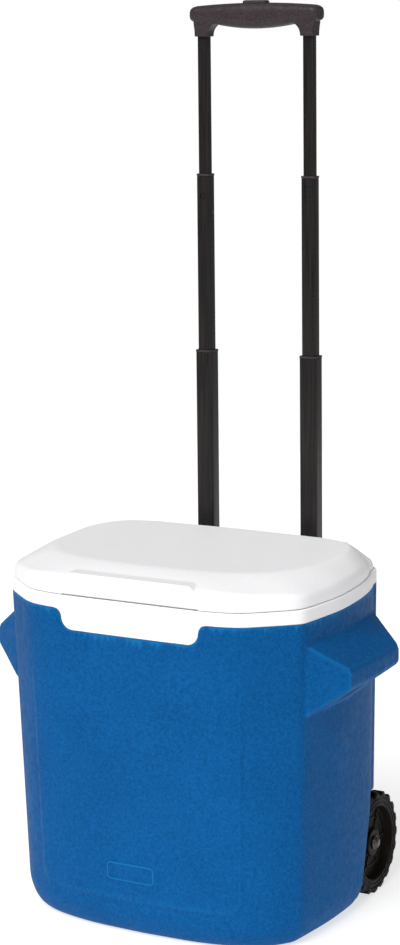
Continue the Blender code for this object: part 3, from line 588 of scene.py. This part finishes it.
def on_ray(outline, centre, direction):
    """Point where a ray from the centre leaves a closed outline."""
    best = None
    count = len(outline)
    for i in range(count):
        a = outline[i] - centre
        b = outline[(i + 1) % count] - centre
        edge = b - a
        cross = direction.x * edge.y - direction.y * edge.x
        if abs(cross) < 1e-12:
            continue
        reach = (a.x * edge.y - a.y * edge.x) / cross
        along = (a.x * direction.y - a.y * direction.x) / cross
        if reach > 0 and -1e-6 <= along <= 1 + 1e-6:
            best = reach if best is None else max(best, reach)
    return centre + direction * best


def edge_height(x, y):
    """Height of the lid's upright edge, lower towards the hinge."""
    turn = math.degrees(math.atan2(abs(x), -y))
    known = [(0, LID_EDGE_H[0][1])] + LID_EDGE_H + [(180, LID_EDGE_H[-1][1])]
    for (a, low), (b, high) in zip(known, known[1:]):
        if turn <= b:
            return (low + (high - low) * (turn - a) / (b - a)) * MM
    return known[-1][1] * MM


def lid_volume(inset, low, shares, name="tool"):
    """Lid body, offset inwards: upright edge, then a crown that swells to a flat plateau."""
    edge = inset_outline(LID_OUTLINE, 1.5 * MM + inset)
    plateau = inset_outline(mirrored(curve_through(LID_PLATEAU)), inset * 0.5)
    centre = Vector((0, -10 * MM))
    inner = [on_ray(plateau, centre, (p - centre).normalized()) for p in edge]
    rings = [[(p.x, p.y, low) for p in edge]]
    for share in shares:
        ring = []
        rounding = 0 if inset else 4 * MM * max(0.0, 1 - 14 * share) ** 2
        for p, q in zip(edge, inner):
            foot = LID_Z + edge_height(*(p - centre))
            rise = (LID_TOP_Z - foot) * (1 - (1 - share) ** LID_SWELL)
            ring.append((*p.lerp(q, share), foot + rise - rounding - inset))
        rings.append(ring)
    return loft(rings, name)


def notch(side, grow):
    reach = sorted((side * (NOTCH_X[0] - grow), side * (NOTCH_X[1] + grow)))
    return block(reach, (NOTCH_Y - grow, 140 * MM), (340 * MM, 410 * MM))


def tab_outline():
    """Front view of the lift tab, with its round upper corners."""
    radius = 9 * MM
    half = [(TAB_HALF - 2 * MM, TAB_Z[0])]
    for i in range(13):
        turn = math.radians(90 * i / 12)
        half.append((TAB_HALF - radius + radius * math.cos(turn),
                     TAB_Z[1] - radius + radius * math.sin(turn)))
    return half + [(-x, z) for x, z in reversed(half)]


def make_lid():
    fine = [0, 0.01, 0.025, 0.05, 0.08, 0.13, 0.2, 0.3, 0.4, 0.5, 0.6, 0.7, 0.8, 0.9, 1]
    lid = lid_volume(0, LID_Z - LID_LIP, fine, "lid_moulding")
    add(lid, prism(tab_outline(), "y", TAB_FRONT, -138 * MM))
    for side in (-1, 1):
        cut(lid, notch(side, 0))
    soften(lid, 1.25 * MM, 4, 0.5)
    room = lid_volume(WALL, LID_Z - 5 * MM, (0, 0.07, 0.2, 0.4, 0.7, 1))
    for side in (-1, 1):
        cut(room, notch(side, WALL))
    cut(lid, room)
    cut(lid, block((-TAB_HALF - 4 * MM, TAB_HALF + 4 * MM), (-170 * MM, -150 * MM),
                   (LID_Z - 5 * MM, TAB_Z[0] - 1.2 * MM)))
    for side in (-1, 1):
        reach = sorted(side * x for x in LID_KNUCKLE_X)
        add(lid, knuckle_arm(reach, NOTCH_Y - 1.5 * MM, HINGE[1] - 4.5 * MM,
                             HINGE[1] + 4.5 * MM))
    return shade(lid, 40)


# ---------------------------------------------------------------- wheels

def make_wheel(side, name):
    """Moulded wheel: lugged tread, ridged side faces, dished web and long hub."""
    inner, outer = WHEEL_X
    tread = WHEEL_R - LUG_DEPTH
    mm = [
        (4.4, inner - 1.2 * MM), (13.2, inner - 1.2 * MM), (14, inner - 0.4 * MM),
        (16, inner + 8 * MM), (18, inner + 9 * MM), (37, inner + 9 * MM),
        (39, inner + 8 * MM), (48, inner + 0.6 * MM), (49.5, inner),
    ]
    profile = [(r * MM, x, 0.0) for r, x in mm]
    profile += [(51.5 * MM, inner, 0.05), (tread - 1.2 * MM, inner + 0.3 * MM, 0.75),
                (tread, inner + 1.4 * MM, 1.0)]
    for share in np.linspace(0.1, 0.9, 9):
        groove = 0.35 if abs(share - 0.5) < 0.06 else 1.0
        profile.append((tread, inner + (outer - inner) * share, groove))
    profile += [(tread, outer - 1.4 * MM, 1.0), (tread - 1.2 * MM, outer - 0.3 * MM, 0.75),
                (52.4 * MM, outer, 0.1)]
    mm = [
        (51.2, outer), (50.6, outer - 0.7 * MM), (49.4, outer - 0.7 * MM),
        (48.8, outer), (46.6, outer), (46.0, outer - 0.7 * MM), (44.8, outer - 0.7 * MM),
        (44.2, outer), (42.4, outer), (41.2, outer - 0.9 * MM), (38.6, outer - 7.6 * MM),
        (37.2, outer - 8.8 * MM), (35.6, outer - 9 * MM), (29, outer - 8.4 * MM),
        (28.2, outer - 7.2 * MM), (26.2, outer - 7.2 * MM), (25.4, outer - 8.2 * MM),
        (17.6, outer - 7.6 * MM), (16.2, outer - 6.6 * MM), (15.4, outer - 4.2 * MM),
        (14.4, outer - 3.5 * MM), (4.4, outer - 3.5 * MM),
    ]
    profile += [(r * MM, x, 0.0) for r, x in mm]
    lift = [0, 0, 0, 0, 0.15, 0.7, 0.95, 1, 1, 1, 1, 0.9, 0.55, 0.1]
    per_lug = len(lift)
    rings = []
    total = LUGS * per_lug
    for i in range(total):
        ring = []
        for radius, x, lug in profile:
            skew = 0.5 * (x - (inner + outer) / 2) / (outer - inner) if lug else 0.0
            turn = 2 * math.pi * (i + 0.5) / total + skew * 2 * math.pi / LUGS
            rib = 0.0
            if 17 * MM < radius < 37 * MM and x > (inner + outer) / 2:
                phase = math.cos(6 * 2 * math.pi * i / total)
                rib = 1.6 * MM * float(smooth_step(0.86, 0.97, phase))
            reach = radius + lug * lift[i % per_lug] * LUG_DEPTH
            ring.append((side * (x + rib), WHEEL_Y + reach * math.cos(turn),
                         WHEEL_R + reach * math.sin(turn)))
        rings.append(ring)
    return loft(rings, name, closed=True, smooth=28)


def make_axle_cap(side, name):
    """Pressed domed cap on the axle's end."""
    out = [(7.4, 168.5), (7.6, 168.7), (7.6, 169.6), (7.4, 169.9), (6.6, 170.0), (6.3, 170.2),
           (6.1, 171.2), (5.6, 172.2), (4.6, 173.1), (3.2, 173.7), (1.6, 173.95), (0.3, 174.0)]
    rings = [[(side * x * MM, y, z) for y, z in circle(r * MM, (WHEEL_Y, WHEEL_R))]
             for r, x in out]
    cap = loft(rings, name, smooth=50)
    cut(cap, rod("x", AXLE_R + GAP, (WHEEL_Y, WHEEL_R), *sorted((side * 160 * MM,
                                                                 side * 170.8 * MM))))
    return shade(cap, 50)


# ---------------------------------------------------------------- telescoping handle

def tube_ring(size, x, z, grow=0.0, radius=3.0 * MM, steps=8):
    width, depth = size[0] / 2 + grow, size[1] / 2 + grow
    radius = max(0.5 * MM, min(radius + grow, depth * 0.8))
    return [(x + a, TUBE_Y + b, z)
            for a, b in rounded_rectangle(width, -depth, depth, radius, steps)]


def tube(size, x, low, high, name):
    """Drawn rounded-rectangle tube with its cut ends eased."""
    ease, wall = 0.25 * MM, size[2]
    levels = [(low, -ease), (low + ease, 0), (high - ease, 0), (high, -ease),
              (high, ease - wall), (high - ease, -wall), (low + ease, -wall), (low, ease - wall)]
    return loft([tube_ring(size, x, z, grow) for z, grow in levels], name, closed=True)


def collar(size, following, x, top, name):
    """Plastic ring on a tube's mouth, which the next tube slides through."""
    low, ease = top - COLLAR_H, 0.35 * MM
    levels = [(size, low, COLLAR_PROUD - 0.15 * MM), (size, low + 0.15 * MM, COLLAR_PROUD),
              (size, top - ease, COLLAR_PROUD), (size, top - ease * 0.3, COLLAR_PROUD - ease * 0.3),
              (size, top, COLLAR_PROUD - ease), (following, top, GAP + ease),
              (following, top - ease, GAP), (following, low, GAP)]
    return loft([tube_ring(s, x, z, grow) for s, z, grow in levels], name, closed=True)


def latch_windows(target, x, levels):
    """Square recesses in a tube's front face."""
    front = TUBE_Y - MIDDLE[1] / 2
    for z in levels:
        hole = rounded_rectangle(3.6 * MM, z - 3.4 * MM, z + 3.4 * MM, 0.9 * MM)
        cut(target, prism([(x + a, b) for a, b in hole], "y", front - MM, front + MM))


def make_tubes():
    """Both telescoping legs: each piece with its body, slot and CAD node."""
    made = []
    for side, name in SIDES:
        x = side * TUBE_X
        fixed = tube(FIXED, x, *FIXED_Z, "tube_fixed_" + name)
        made.append((fixed, "cooler", "tube", "fixed_tube_" + name))
        lower = tube(LOWER, x, LOWER_Z[0], LOWER_Z[1] - COLLAR_H - GAP, "tube_lower_" + name)
        made.append((lower, "lower_stage", "tube", "lower_tube_" + name))
        ring = collar(LOWER, MIDDLE, x, LOWER_Z[1], "collar_lower_" + name)
        face = x - side * MIDDLE[0] / 2
        for outer in (lower, ring):
            relief = sorted((face - side * (NUB_PROUD + 0.15 * MM), face + side * 0.3 * MM))
            cut(outer, block(relief, (TUBE_Y - 2.9 * MM, TUBE_Y + 2.9 * MM),
                             (NUB_RELIEF_Z, LOWER_Z[1] + MM)))
            shade(outer, 30)
        made.append((ring, "lower_stage", "black", "lower_collar_" + name))
        middle = tube(MIDDLE, x, MIDDLE_Z[0], MIDDLE_Z[1] - COLLAR_H - GAP,
                      "tube_middle_" + name)
        cut(middle, rod("x", 2.7 * MM, (TUBE_Y, NUB_Z),
                        *sorted((face - side * 4 * MM, face + side * 4 * MM))))
        latch_windows(middle, x, (785 * MM, 774 * MM) if side > 0 else (774 * MM,))
        shade(middle, 30)
        made.append((middle, "middle_stage", "tube", "middle_tube_" + name))
        ring = collar(MIDDLE, UPPER, x, MIDDLE_Z[1], "collar_middle_" + name)
        made.append((ring, "middle_stage", "black", "middle_collar_" + name))
        upper = tube(UPPER, x, *UPPER_Z, "tube_upper_" + name)
        made.append((upper, "grip", "tube", "upper_tube_" + name))
        nub = []
        for r, out in ((2.4, -1.3), (2.4, 0.5), (2.2, 0.9), (1.6, 1.2), (0.9, 1.3), (0.3, 1.3)):
            nub.append([(face - side * out * MM, y, z)
                        for y, z in circle(r * MM, (TUBE_Y, NUB_Z), 32)])
        made.append((loft(nub, "latch_nub_" + name, smooth=50), "middle_stage", "black",
                     "lock_button_" + name))
    return made


def copy_of(node, name):
    """A new piece with a CAD node's shape, to be softened."""
    mesh = frame["nodes"][node].data.copy()
    mesh.name = name
    mesh.materials.clear()
    bm = bmesh.new()
    bm.from_mesh(mesh)
    bmesh.ops.remove_doubles(bm, verts=bm.verts, dist=0.01 * MM)
    bm.to_mesh(mesh)
    bm.free()
    made = bpy.data.objects.new(name, mesh)
    bpy.context.collection.objects.link(made)
    return made


def make_screw(node, name):
    """Pan-head screw facing the rear, with a cross recess, where a CAD screw stands."""
    low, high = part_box(node)
    radius = (high.x - low.x) / 2
    centre = ((low.x + high.x) / 2, (low.z + high.z) / 2)
    axis_y = high.y - 0.69 * radius
    depth = axis_y - low.y
    rings = []
    for r, y in ((0.48, -depth), (0.5, -depth + 0.3 * MM), (0.5, 0), (1.0, 0.02 * MM),
                 (1.0, 0.35 * radius), (0.93, 0.5 * radius), (0.7, 0.62 * radius),
                 (0.35, 0.68 * radius), (0.05, 0.69 * radius)):
        rings.append([(a, axis_y + y, b) for a, b in circle(radius * r, centre, 40)])
    screw = loft(rings, name, smooth=40)
    long, wide = 0.55 * radius, 0.13 * radius
    for half_x, half_z in ((long, wide), (wide, long)):
        cut(screw, block((centre[0] - half_x, centre[0] + half_x),
                         (axis_y + 0.25 * radius, axis_y + radius),
                         (centre[1] - half_z, centre[1] + half_z)))
    return shade(screw, 40)


# ---------------------------------------------------------------- grip

def grip_ring(x, shrink=0.0, steps=56):
    """Upright rounded section of the grip's barrel at a place along it."""
    t = min(1.0, abs(x) / GRIP_HALF)
    top = GRIP_TOP - 3.5 * MM * t * t
    rise = min(1.0, abs(x) / GRIP_ARCH)
    bottom = GRIP_BELLY + 4.5 * MM * rise * rise
    if abs(x) > GRIP_ARCH:
        bottom += 3.5 * MM * (abs(x) - GRIP_ARCH) / (GRIP_HALF - GRIP_ARCH)
    depth = GRIP_DEPTH
    end = max(0.0, (abs(x) - GRIP_HALF + GRIP_END) / GRIP_END)
    if end:
        top -= 2.0 * MM * end * end
        bottom += 1.0 * MM * end * end
        depth -= 3.0 * MM * end * end
    top, bottom, depth = top - shrink, bottom + shrink, depth - shrink
    middle, height = (top + bottom) / 2, (top - bottom) / 2
    ring = []
    for i in range(steps):
        turn = 2 * math.pi * i / steps
        ca, sa = math.cos(turn), math.sin(turn)
        ring.append((x, TUBE_Y + depth * math.copysign(abs(ca) ** 0.75, ca),
                     middle + height * math.copysign(abs(sa) ** 0.75, sa)))
    return ring


def grip_barrel(reach, shrink, count=61):
    return loft([grip_ring(reach * s, shrink) for s in np.linspace(-1, 1, count)])


def socket(side):
    """Leg of the grip over a tube's end, flaring towards the barrel on its inner side."""
    rings = []
    for rise, near, far in ((0, 58, 75), (2.6, 57.8, 75.1), (5.3, 57.3, 75.2), (8, 56.2, 75.5),
                            (10.3, 54.5, 75.8), (12.3, 52.4, 76.1), (14.3, 50, 76.4),
                            (18.8, 50, 76.6)):
        depth = 9.5 * MM
        outline = rounded_rectangle((far - near) / 2 * MM, -depth, depth, 3.5 * MM)
        middle = side * (near + far) / 2 * MM
        rings.append([(middle + a, TUBE_Y + b, SOCKET_Z + rise * MM) for a, b in outline])
    return loft(rings)


def make_grip_half(name, low, high):
    half = grip_barrel(GRIP_HALF, 0)
    half.name = name
    add(half, socket(-1), socket(1))
    for x in (-38 * MM, 38 * MM):
        seam = loft([grip_ring(x - 0.35 * MM, -2 * MM), grip_ring(x + 0.35 * MM, -2 * MM)])
        cut(seam, loft([grip_ring(x - 2 * MM, 0.35 * MM), grip_ring(x + 2 * MM, 0.35 * MM)]))
        cut(half, seam)
    soften(half, 0.55 * MM, 4)
    room = grip_barrel(73 * MM, 2.4 * MM, 21)
    for side in (-1, 1):
        centre = (side * GRIP_SCREW[0], GRIP_SCREW[1])
        cut(room, rod("y", 3.9 * MM, centre, 130 * MM, 160 * MM, steps=32))
    cut(half, room)
    for side in (-1, 1):
        well = [tube_ring(UPPER, side * TUBE_X, z, GAP)
                for z in (SOCKET_Z - MM, UPPER_Z[1] + 3 * MM)]
        cut(half, loft(well))
        centre = (side * GRIP_SCREW[0], GRIP_SCREW[1])
        cut(half, rod("y", 1.6 * MM, centre, 139 * MM, 160 * MM, steps=24),
            rod("y", 2.7 * MM, centre, 153.6 * MM, 162 * MM, steps=32))
    well_x, well_y = BUTTON[0] + 0.5 * MM, BUTTON[1] + 0.5 * MM
    hole = rounded_rectangle(well_x, TUBE_Y - well_y, TUBE_Y + well_y, 3.4 * MM)
    cut(half, prism(hole, "z", 983 * MM, 998 * MM))
    keep(half, block((-100 * MM, 100 * MM), (low, high), (940 * MM, 1000 * MM)))
    return shade(half, 40)


def make_spring():
    """Coil under the button, from a closed round wire."""
    low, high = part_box("button_spring")
    wire, turns, steps = 0.45 * MM, 7, 40
    radius = (high.x - low.x) / 2 - wire
    rings = []
    for i in range(turns * steps + 1):
        turn = 2 * math.pi * i / steps
        outward = Vector((math.cos(turn), math.sin(turn), 0))
        share = smooth_step(0.06, 0.94, i / (turns * steps))
        centre = Vector((0, TUBE_Y, low.z + wire + (high.z - low.z - 2 * wire) * share))
        rings.append([centre + outward * (radius + a) + Vector((0, 0, b))
                      for a, b in circle(wire, steps=12)])
    spring = loft(rings, "return_spring", smooth=60)
    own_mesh(spring)
    return spring


def make_button():
    half_x, half_y, low, high = BUTTON
    rings = []
    for z, shrink in ((low, 0.2), (low + 0.3 * MM, 0), (high - 2.2 * MM, 0),
                      (high - 1.4 * MM, 0.15), (high - 0.8 * MM, 0.5), (high - 0.35 * MM, 1.1),
                      (high - 0.08 * MM, 1.9), (high, 2.6)):
        outline = rounded_rectangle(half_x - shrink * MM, shrink * MM - half_y,
                                    half_y - shrink * MM, 3 * MM)
        rings.append([(a, TUBE_Y + b, z) for a, b in outline])
    button = loft(rings, "thumb_button", smooth=50)
    for x in (-6, -3, 0, 3, 6):
        groove = circle(0.5 * MM, (x * MM, high + 0.15 * MM), 16)
        cut(button, prism(groove, "y", TUBE_Y - 3.6 * MM, TUBE_Y + 3.6 * MM))
    return shade(button, 50)


# ---------------------------------------------------------------- finishes

BROAD_SHARE, FINE_SHARE = 0.22, 0.78    # of the colour's drift
# The edge tone is a painted highlight on sharp outer corners, mixed with wear.
EDGE_SHEEN_AND_WEAR = 0.8                         # how far an outer corner turns to the edge tone


def finish(name, tones, patch, rough, relief, stretch=(1, 1, 1), edge=None, **constants):
    """Procedural finish: drifting colour, uneven gloss and fine relief.

    tones are the two ends of the colour, patch the scales of its broad and fine drift,
    rough the two ends of the roughness, relief rows of (texture, scale, strength, height),
    and edge the lighter tone that sharp outer corners turn to, with how sharp they have to be:
    a painted highlight along corners, mixed with wear.
    """
    material = bpy.data.materials.new(name)
    material.use_nodes = True
    nodes, links = material.node_tree.nodes, material.node_tree.links
    shader = nodes["Principled BSDF"]
    for key, value in constants.items():
        shader.inputs[key.replace("_", " ")].default_value = value
    place = nodes.new("ShaderNodeMapping")
    place.inputs["Scale"].default_value = stretch
    links.new(nodes.new("ShaderNodeTexCoord").outputs["Object"], place.inputs["Vector"])

    def texture(kind, scale, detail=3.0):
        node = nodes.new("ShaderNodeTexVoronoi" if kind == "cells" else "ShaderNodeTexNoise")
        node.inputs["Scale"].default_value = scale
        if kind != "cells":
            node.inputs["Detail"].default_value = detail
        links.new(place.outputs["Vector"], node.inputs["Vector"])
        return node.outputs["Distance" if kind == "cells" else "Fac"]

    def spread(value, ends, reach=(0.32, 0.68)):
        node = nodes.new("ShaderNodeMapRange")
        links.new(value, node.inputs["Value"])
        for key, number in zip(("From Min", "From Max", "To Min", "To Max"), reach + ends):
            node.inputs[key].default_value = number
        return node.outputs["Result"]

    def blend_tone(factor, first, second):
        node = nodes.new("ShaderNodeMix")
        node.data_type = "RGBA"
        links.new(factor, node.inputs["Factor"])
        for entry, tone in ((node.inputs[6], first), (node.inputs[7], second)):
            if isinstance(tone, tuple):
                entry.default_value = (*tone, 1)
            else:
                links.new(tone, entry)
        return node.outputs[2]

    broad = texture("noise", patch[0], 2.0)
    fine = texture("noise", patch[1], 4.0)
    both = nodes.new("ShaderNodeMath")
    both.operation = "ADD"
    links.new(spread(broad, (0.0, BROAD_SHARE)), both.inputs[0])
    links.new(spread(fine, (0.0, FINE_SHARE)), both.inputs[1])
    colour = blend_tone(both.outputs[0], *tones)
    # Painted highlight and wear: sharp outer corners, found by Pointiness, turn to the lighter edge
    # tone.
    if edge:
        corner = nodes.new("ShaderNodeNewGeometry").outputs["Pointiness"]
        colour = blend_tone(spread(corner, (0.0, EDGE_SHEEN_AND_WEAR), edge[1]), colour, edge[0])
    links.new(colour, shader.inputs["Base Color"])
    links.new(spread(texture("noise", patch[1] * 0.37), rough), shader.inputs["Roughness"])
    normal = None
    for kind, scale, strength, height in relief:
        bump = nodes.new("ShaderNodeBump")
        bump.inputs["Strength"].default_value = strength
        bump.inputs["Distance"].default_value = height
        links.new(texture(kind, scale), bump.inputs["Height"])
        if normal:
            links.new(normal, bump.inputs["Normal"])
        normal = bump.outputs["Normal"]
    links.new(normal, shader.inputs["Normal"])
    return material


FINISHES = {
    "shell": finish("blue_polyethylene", ((0.0026, 0.066, 0.212), (0.0048, 0.104, 0.322)),
                    (14, 330), (0.50, 0.66),
                    [("noise", 90, 0.12, 0.7 * MM), ("cells", 480, 0.40, 0.4 * MM),
                     ("noise", 1200, 0.25, 0.2 * MM)],
                    # edge: lighter blue along rounded corners, the panel crease and pocket edges, a
                    # painted highlight
                    edge=((0.0085, 0.155, 0.410), (0.505, 0.535)),
                    Specular_IOR_Level=0.08, Specular_Tint=(0.25, 0.5, 1.0, 1)),
    "white": finish("white_polypropylene", ((0.89, 0.89, 0.905), (0.925, 0.925, 0.935)),
                    (9, 300), (0.46, 0.58),
                    [("noise", 60, 0.04, 0.5 * MM), ("noise", 900, 0.06, 0.1 * MM)],
                    Specular_IOR_Level=0.25),
    "foam": finish("rigid_foam", ((0.72, 0.63, 0.36), (0.86, 0.80, 0.58)), (40, 600),
                   (0.80, 0.95), [("cells", 500, 0.6, 0.6 * MM)]),
    "wheel": finish("wheel_plastic", ((0.0034, 0.0024, 0.0018), (0.0074, 0.0054, 0.0042)),
                    (30, 420), (0.36, 0.58),
                    [("noise", 160, 0.12, 0.4 * MM), ("noise", 1400, 0.22, 0.15 * MM)],
                    # edge: lighter sharp corners of the lugs and ridges, painted highlight and wear
                    edge=((0.015, 0.012, 0.010), (0.52, 0.62)), Specular_IOR_Level=0.06),
    "steel": finish("zinc_plate", ((0.50, 0.50, 0.51), (0.68, 0.68, 0.69)), (60, 900),
                    (0.20, 0.38), [("noise", 1800, 0.10, 0.1 * MM)], Metallic=1.0),
    "tube": finish("black_painted_tube", ((0.0060, 0.0048, 0.0046), (0.0225, 0.0190, 0.0186)),
                   (60, 500), (0.22, 0.36),
                   [("noise", 700, 0.16, 0.15 * MM), ("noise", 70, 0.06, 0.4 * MM)],
                   stretch=(1, 1, 0.03), Specular_IOR_Level=0.25),
    "black": finish("grained_black_plastic", ((0.024, 0.0165, 0.0190), (0.058, 0.042, 0.0475)),
                    (45, 420), (0.34, 0.52),
                    [("cells", 700, 0.30, 0.25 * MM), ("noise", 1500, 0.25, 0.15 * MM)],
                    Specular_IOR_Level=0.25),
}
DARK_ZINC = finish("darkened_zinc", ((0.05, 0.047, 0.044), (0.12, 0.115, 0.11)), (90, 900),
                   (0.22, 0.40), [("noise", 1800, 0.12, 0.1 * MM)], Metallic=1.0)


def place(piece, body, slot, *nodes, look=None):
    piece.data.materials.clear()
    piece.data.materials.append(look or FINISHES[slot])
    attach(piece, body)
    if nodes:
        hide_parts(*nodes)


# ---------------------------------------------------------------- assembly

place(make_shell(), "cooler", "shell", "outer_shell")
place(make_badge(), "cooler", "shell")
place(make_liner(), "cooler", "white", "inner_liner")
place(make_lid(), "lid", "white", "lid_top")
for side, name in SIDES:
    place(make_wheel(side, "wheel_moulding_" + name), name + "_wheel", "wheel",
          "wheel_" + name)
    place(make_axle_cap(side, "cap_" + name), "cooler", "steel", "axle_cap_" + name,
          look=DARK_ZINC)
for piece, body, slot, node in make_tubes():
    place(piece, body, slot, node)
for level in ("top", "foot"):
    bracket = soften(copy_of("handle_bracket_" + level, "bracket_" + level), 0.7 * MM, 3, 0.5)
    place(shade(bracket, 40), "cooler", "black", "handle_bracket_" + level)
    for _, name in SIDES:
        node = "bracket_screw_%s_%s" % (level, name)
        place(make_screw(node, "screw_%s_%s" % (level, name)), "cooler", "steel", node)
place(make_grip_half("grip_half_front", 120 * MM, TUBE_Y - 0.15 * MM), "grip", "black",
      "grip_front")
place(make_grip_half("grip_half_rear", TUBE_Y + 0.15 * MM, 170 * MM), "grip", "black",
      "grip_rear")
place(make_button(), "button", "black", "grip_button")
place(make_spring(), "grip", "steel", "button_spring")
lining = soften(copy_of("lid_panel", "lid_lining"), 1.0 * MM, 4, 0.3)
place(shade(lining, 40), "lid", "white", "lid_panel")
for _, name in SIDES:
    place(make_screw("grip_screw_" + name, "screw_grip_" + name), "grip", "steel",
          "grip_screw_" + name)

slots = {part["node"]: part["material_slot"] for part in frame["record"]["subparts"]}
for node, carried in frame["nodes"].items():
    carried.data.materials.clear()
    carried.data.materials.append(FINISHES[slots[node]])


# ---------------------------------------------------------------- studio

def make_stage():
    floor = bpy.data.meshes.new("floor")
    corners = [(-1, -1), (1, -1), (1, 1), (-1, 1)]
    floor.from_pydata([(x * FLOOR_REACH, y * FLOOR_REACH, 0) for x, y in corners],
                      [], [(0, 1, 2, 3)])
    ground = bpy.data.objects.new("floor", floor)
    bpy.context.collection.objects.link(ground)
    floor.materials.append(finish("pale_floor", ((0.48, 0.48, 0.48), (0.52, 0.52, 0.52)),
                                  (3, 60), (0.6, 0.7), [("noise", 200, 0.02, 0.2 * MM)],
                                  Specular_IOR_Level=0.1, Emission_Color=(1, 1, 1, 1),
                                  Emission_Strength=0.66))


def sun(name, towards, spread, strength):
    """Broad soft light, coming from a direction."""
    light = bpy.data.lights.new(name, "SUN")
    light.angle = math.radians(spread)
    light.energy = strength
    lamp = bpy.data.objects.new(name, light)
    lamp.rotation_euler = (-Vector(towards)).to_track_quat("-Z", "Y").to_euler()
    bpy.context.collection.objects.link(lamp)


def strip_light(name, spot, size, power):
    """Tall narrow lamp facing the object's axis."""
    light = bpy.data.lights.new(name, "AREA")
    light.shape = "RECTANGLE"
    light.size, light.size_y = size
    light.energy = power
    lamp = bpy.data.objects.new(name, light)
    lamp.location = spot
    aim = Vector((0, 0, spot[2])) - Vector(spot)
    lamp.rotation_euler = aim.to_track_quat("-Z", "Y").to_euler()
    bpy.context.collection.objects.link(lamp)


def make_camera():
    turn, pitch, roll = map(math.radians, CAMERA_TURNS)
    ahead = Vector((-math.sin(turn) * math.cos(pitch), math.cos(turn) * math.cos(pitch),
                    -math.sin(pitch)))
    level = Vector((math.cos(turn), math.sin(turn), 0))
    above = level.cross(ahead)
    across = math.cos(roll) * level + math.sin(roll) * above
    up = math.cos(roll) * above - math.sin(roll) * level
    lens = bpy.data.cameras.new("camera")
    lens.lens = CAMERA_LENS
    lens.sensor_width = 36
    lens.shift_y = CAMERA_SHIFT
    camera = bpy.data.objects.new("camera", lens)
    camera.matrix_world = Matrix((across, up, -ahead)).transposed().to_4x4()
    camera.matrix_world.translation = CAMERA_SPOT
    bpy.context.collection.objects.link(camera)
    bpy.context.scene.camera = camera


make_stage()
sun("key", (0.0, -0.71, 0.71), 35, 2.8)
strip_light("edge", (2.70, -1.48, 0.75), (0.22, 1.4), 4.0)
make_camera()
world = bpy.data.worlds.new("studio")
world.use_nodes = True
sky = world.node_tree
seen = sky.nodes.new("ShaderNodeLightPath").outputs["Is Camera Ray"]
level = sky.nodes.new("ShaderNodeMapRange")
level.inputs["To Min"].default_value = SKY_LIGHT
level.inputs["To Max"].default_value = SKY_SEEN
sky.links.new(seen, level.inputs["Value"])
sky.links.new(level.outputs["Result"], sky.nodes["Background"].inputs["Strength"])
sky.nodes["Background"].inputs["Color"].default_value = (1, 1, 1, 1)
bpy.context.scene.world = world
bpy.context.scene.view_settings.view_transform = "Standard"
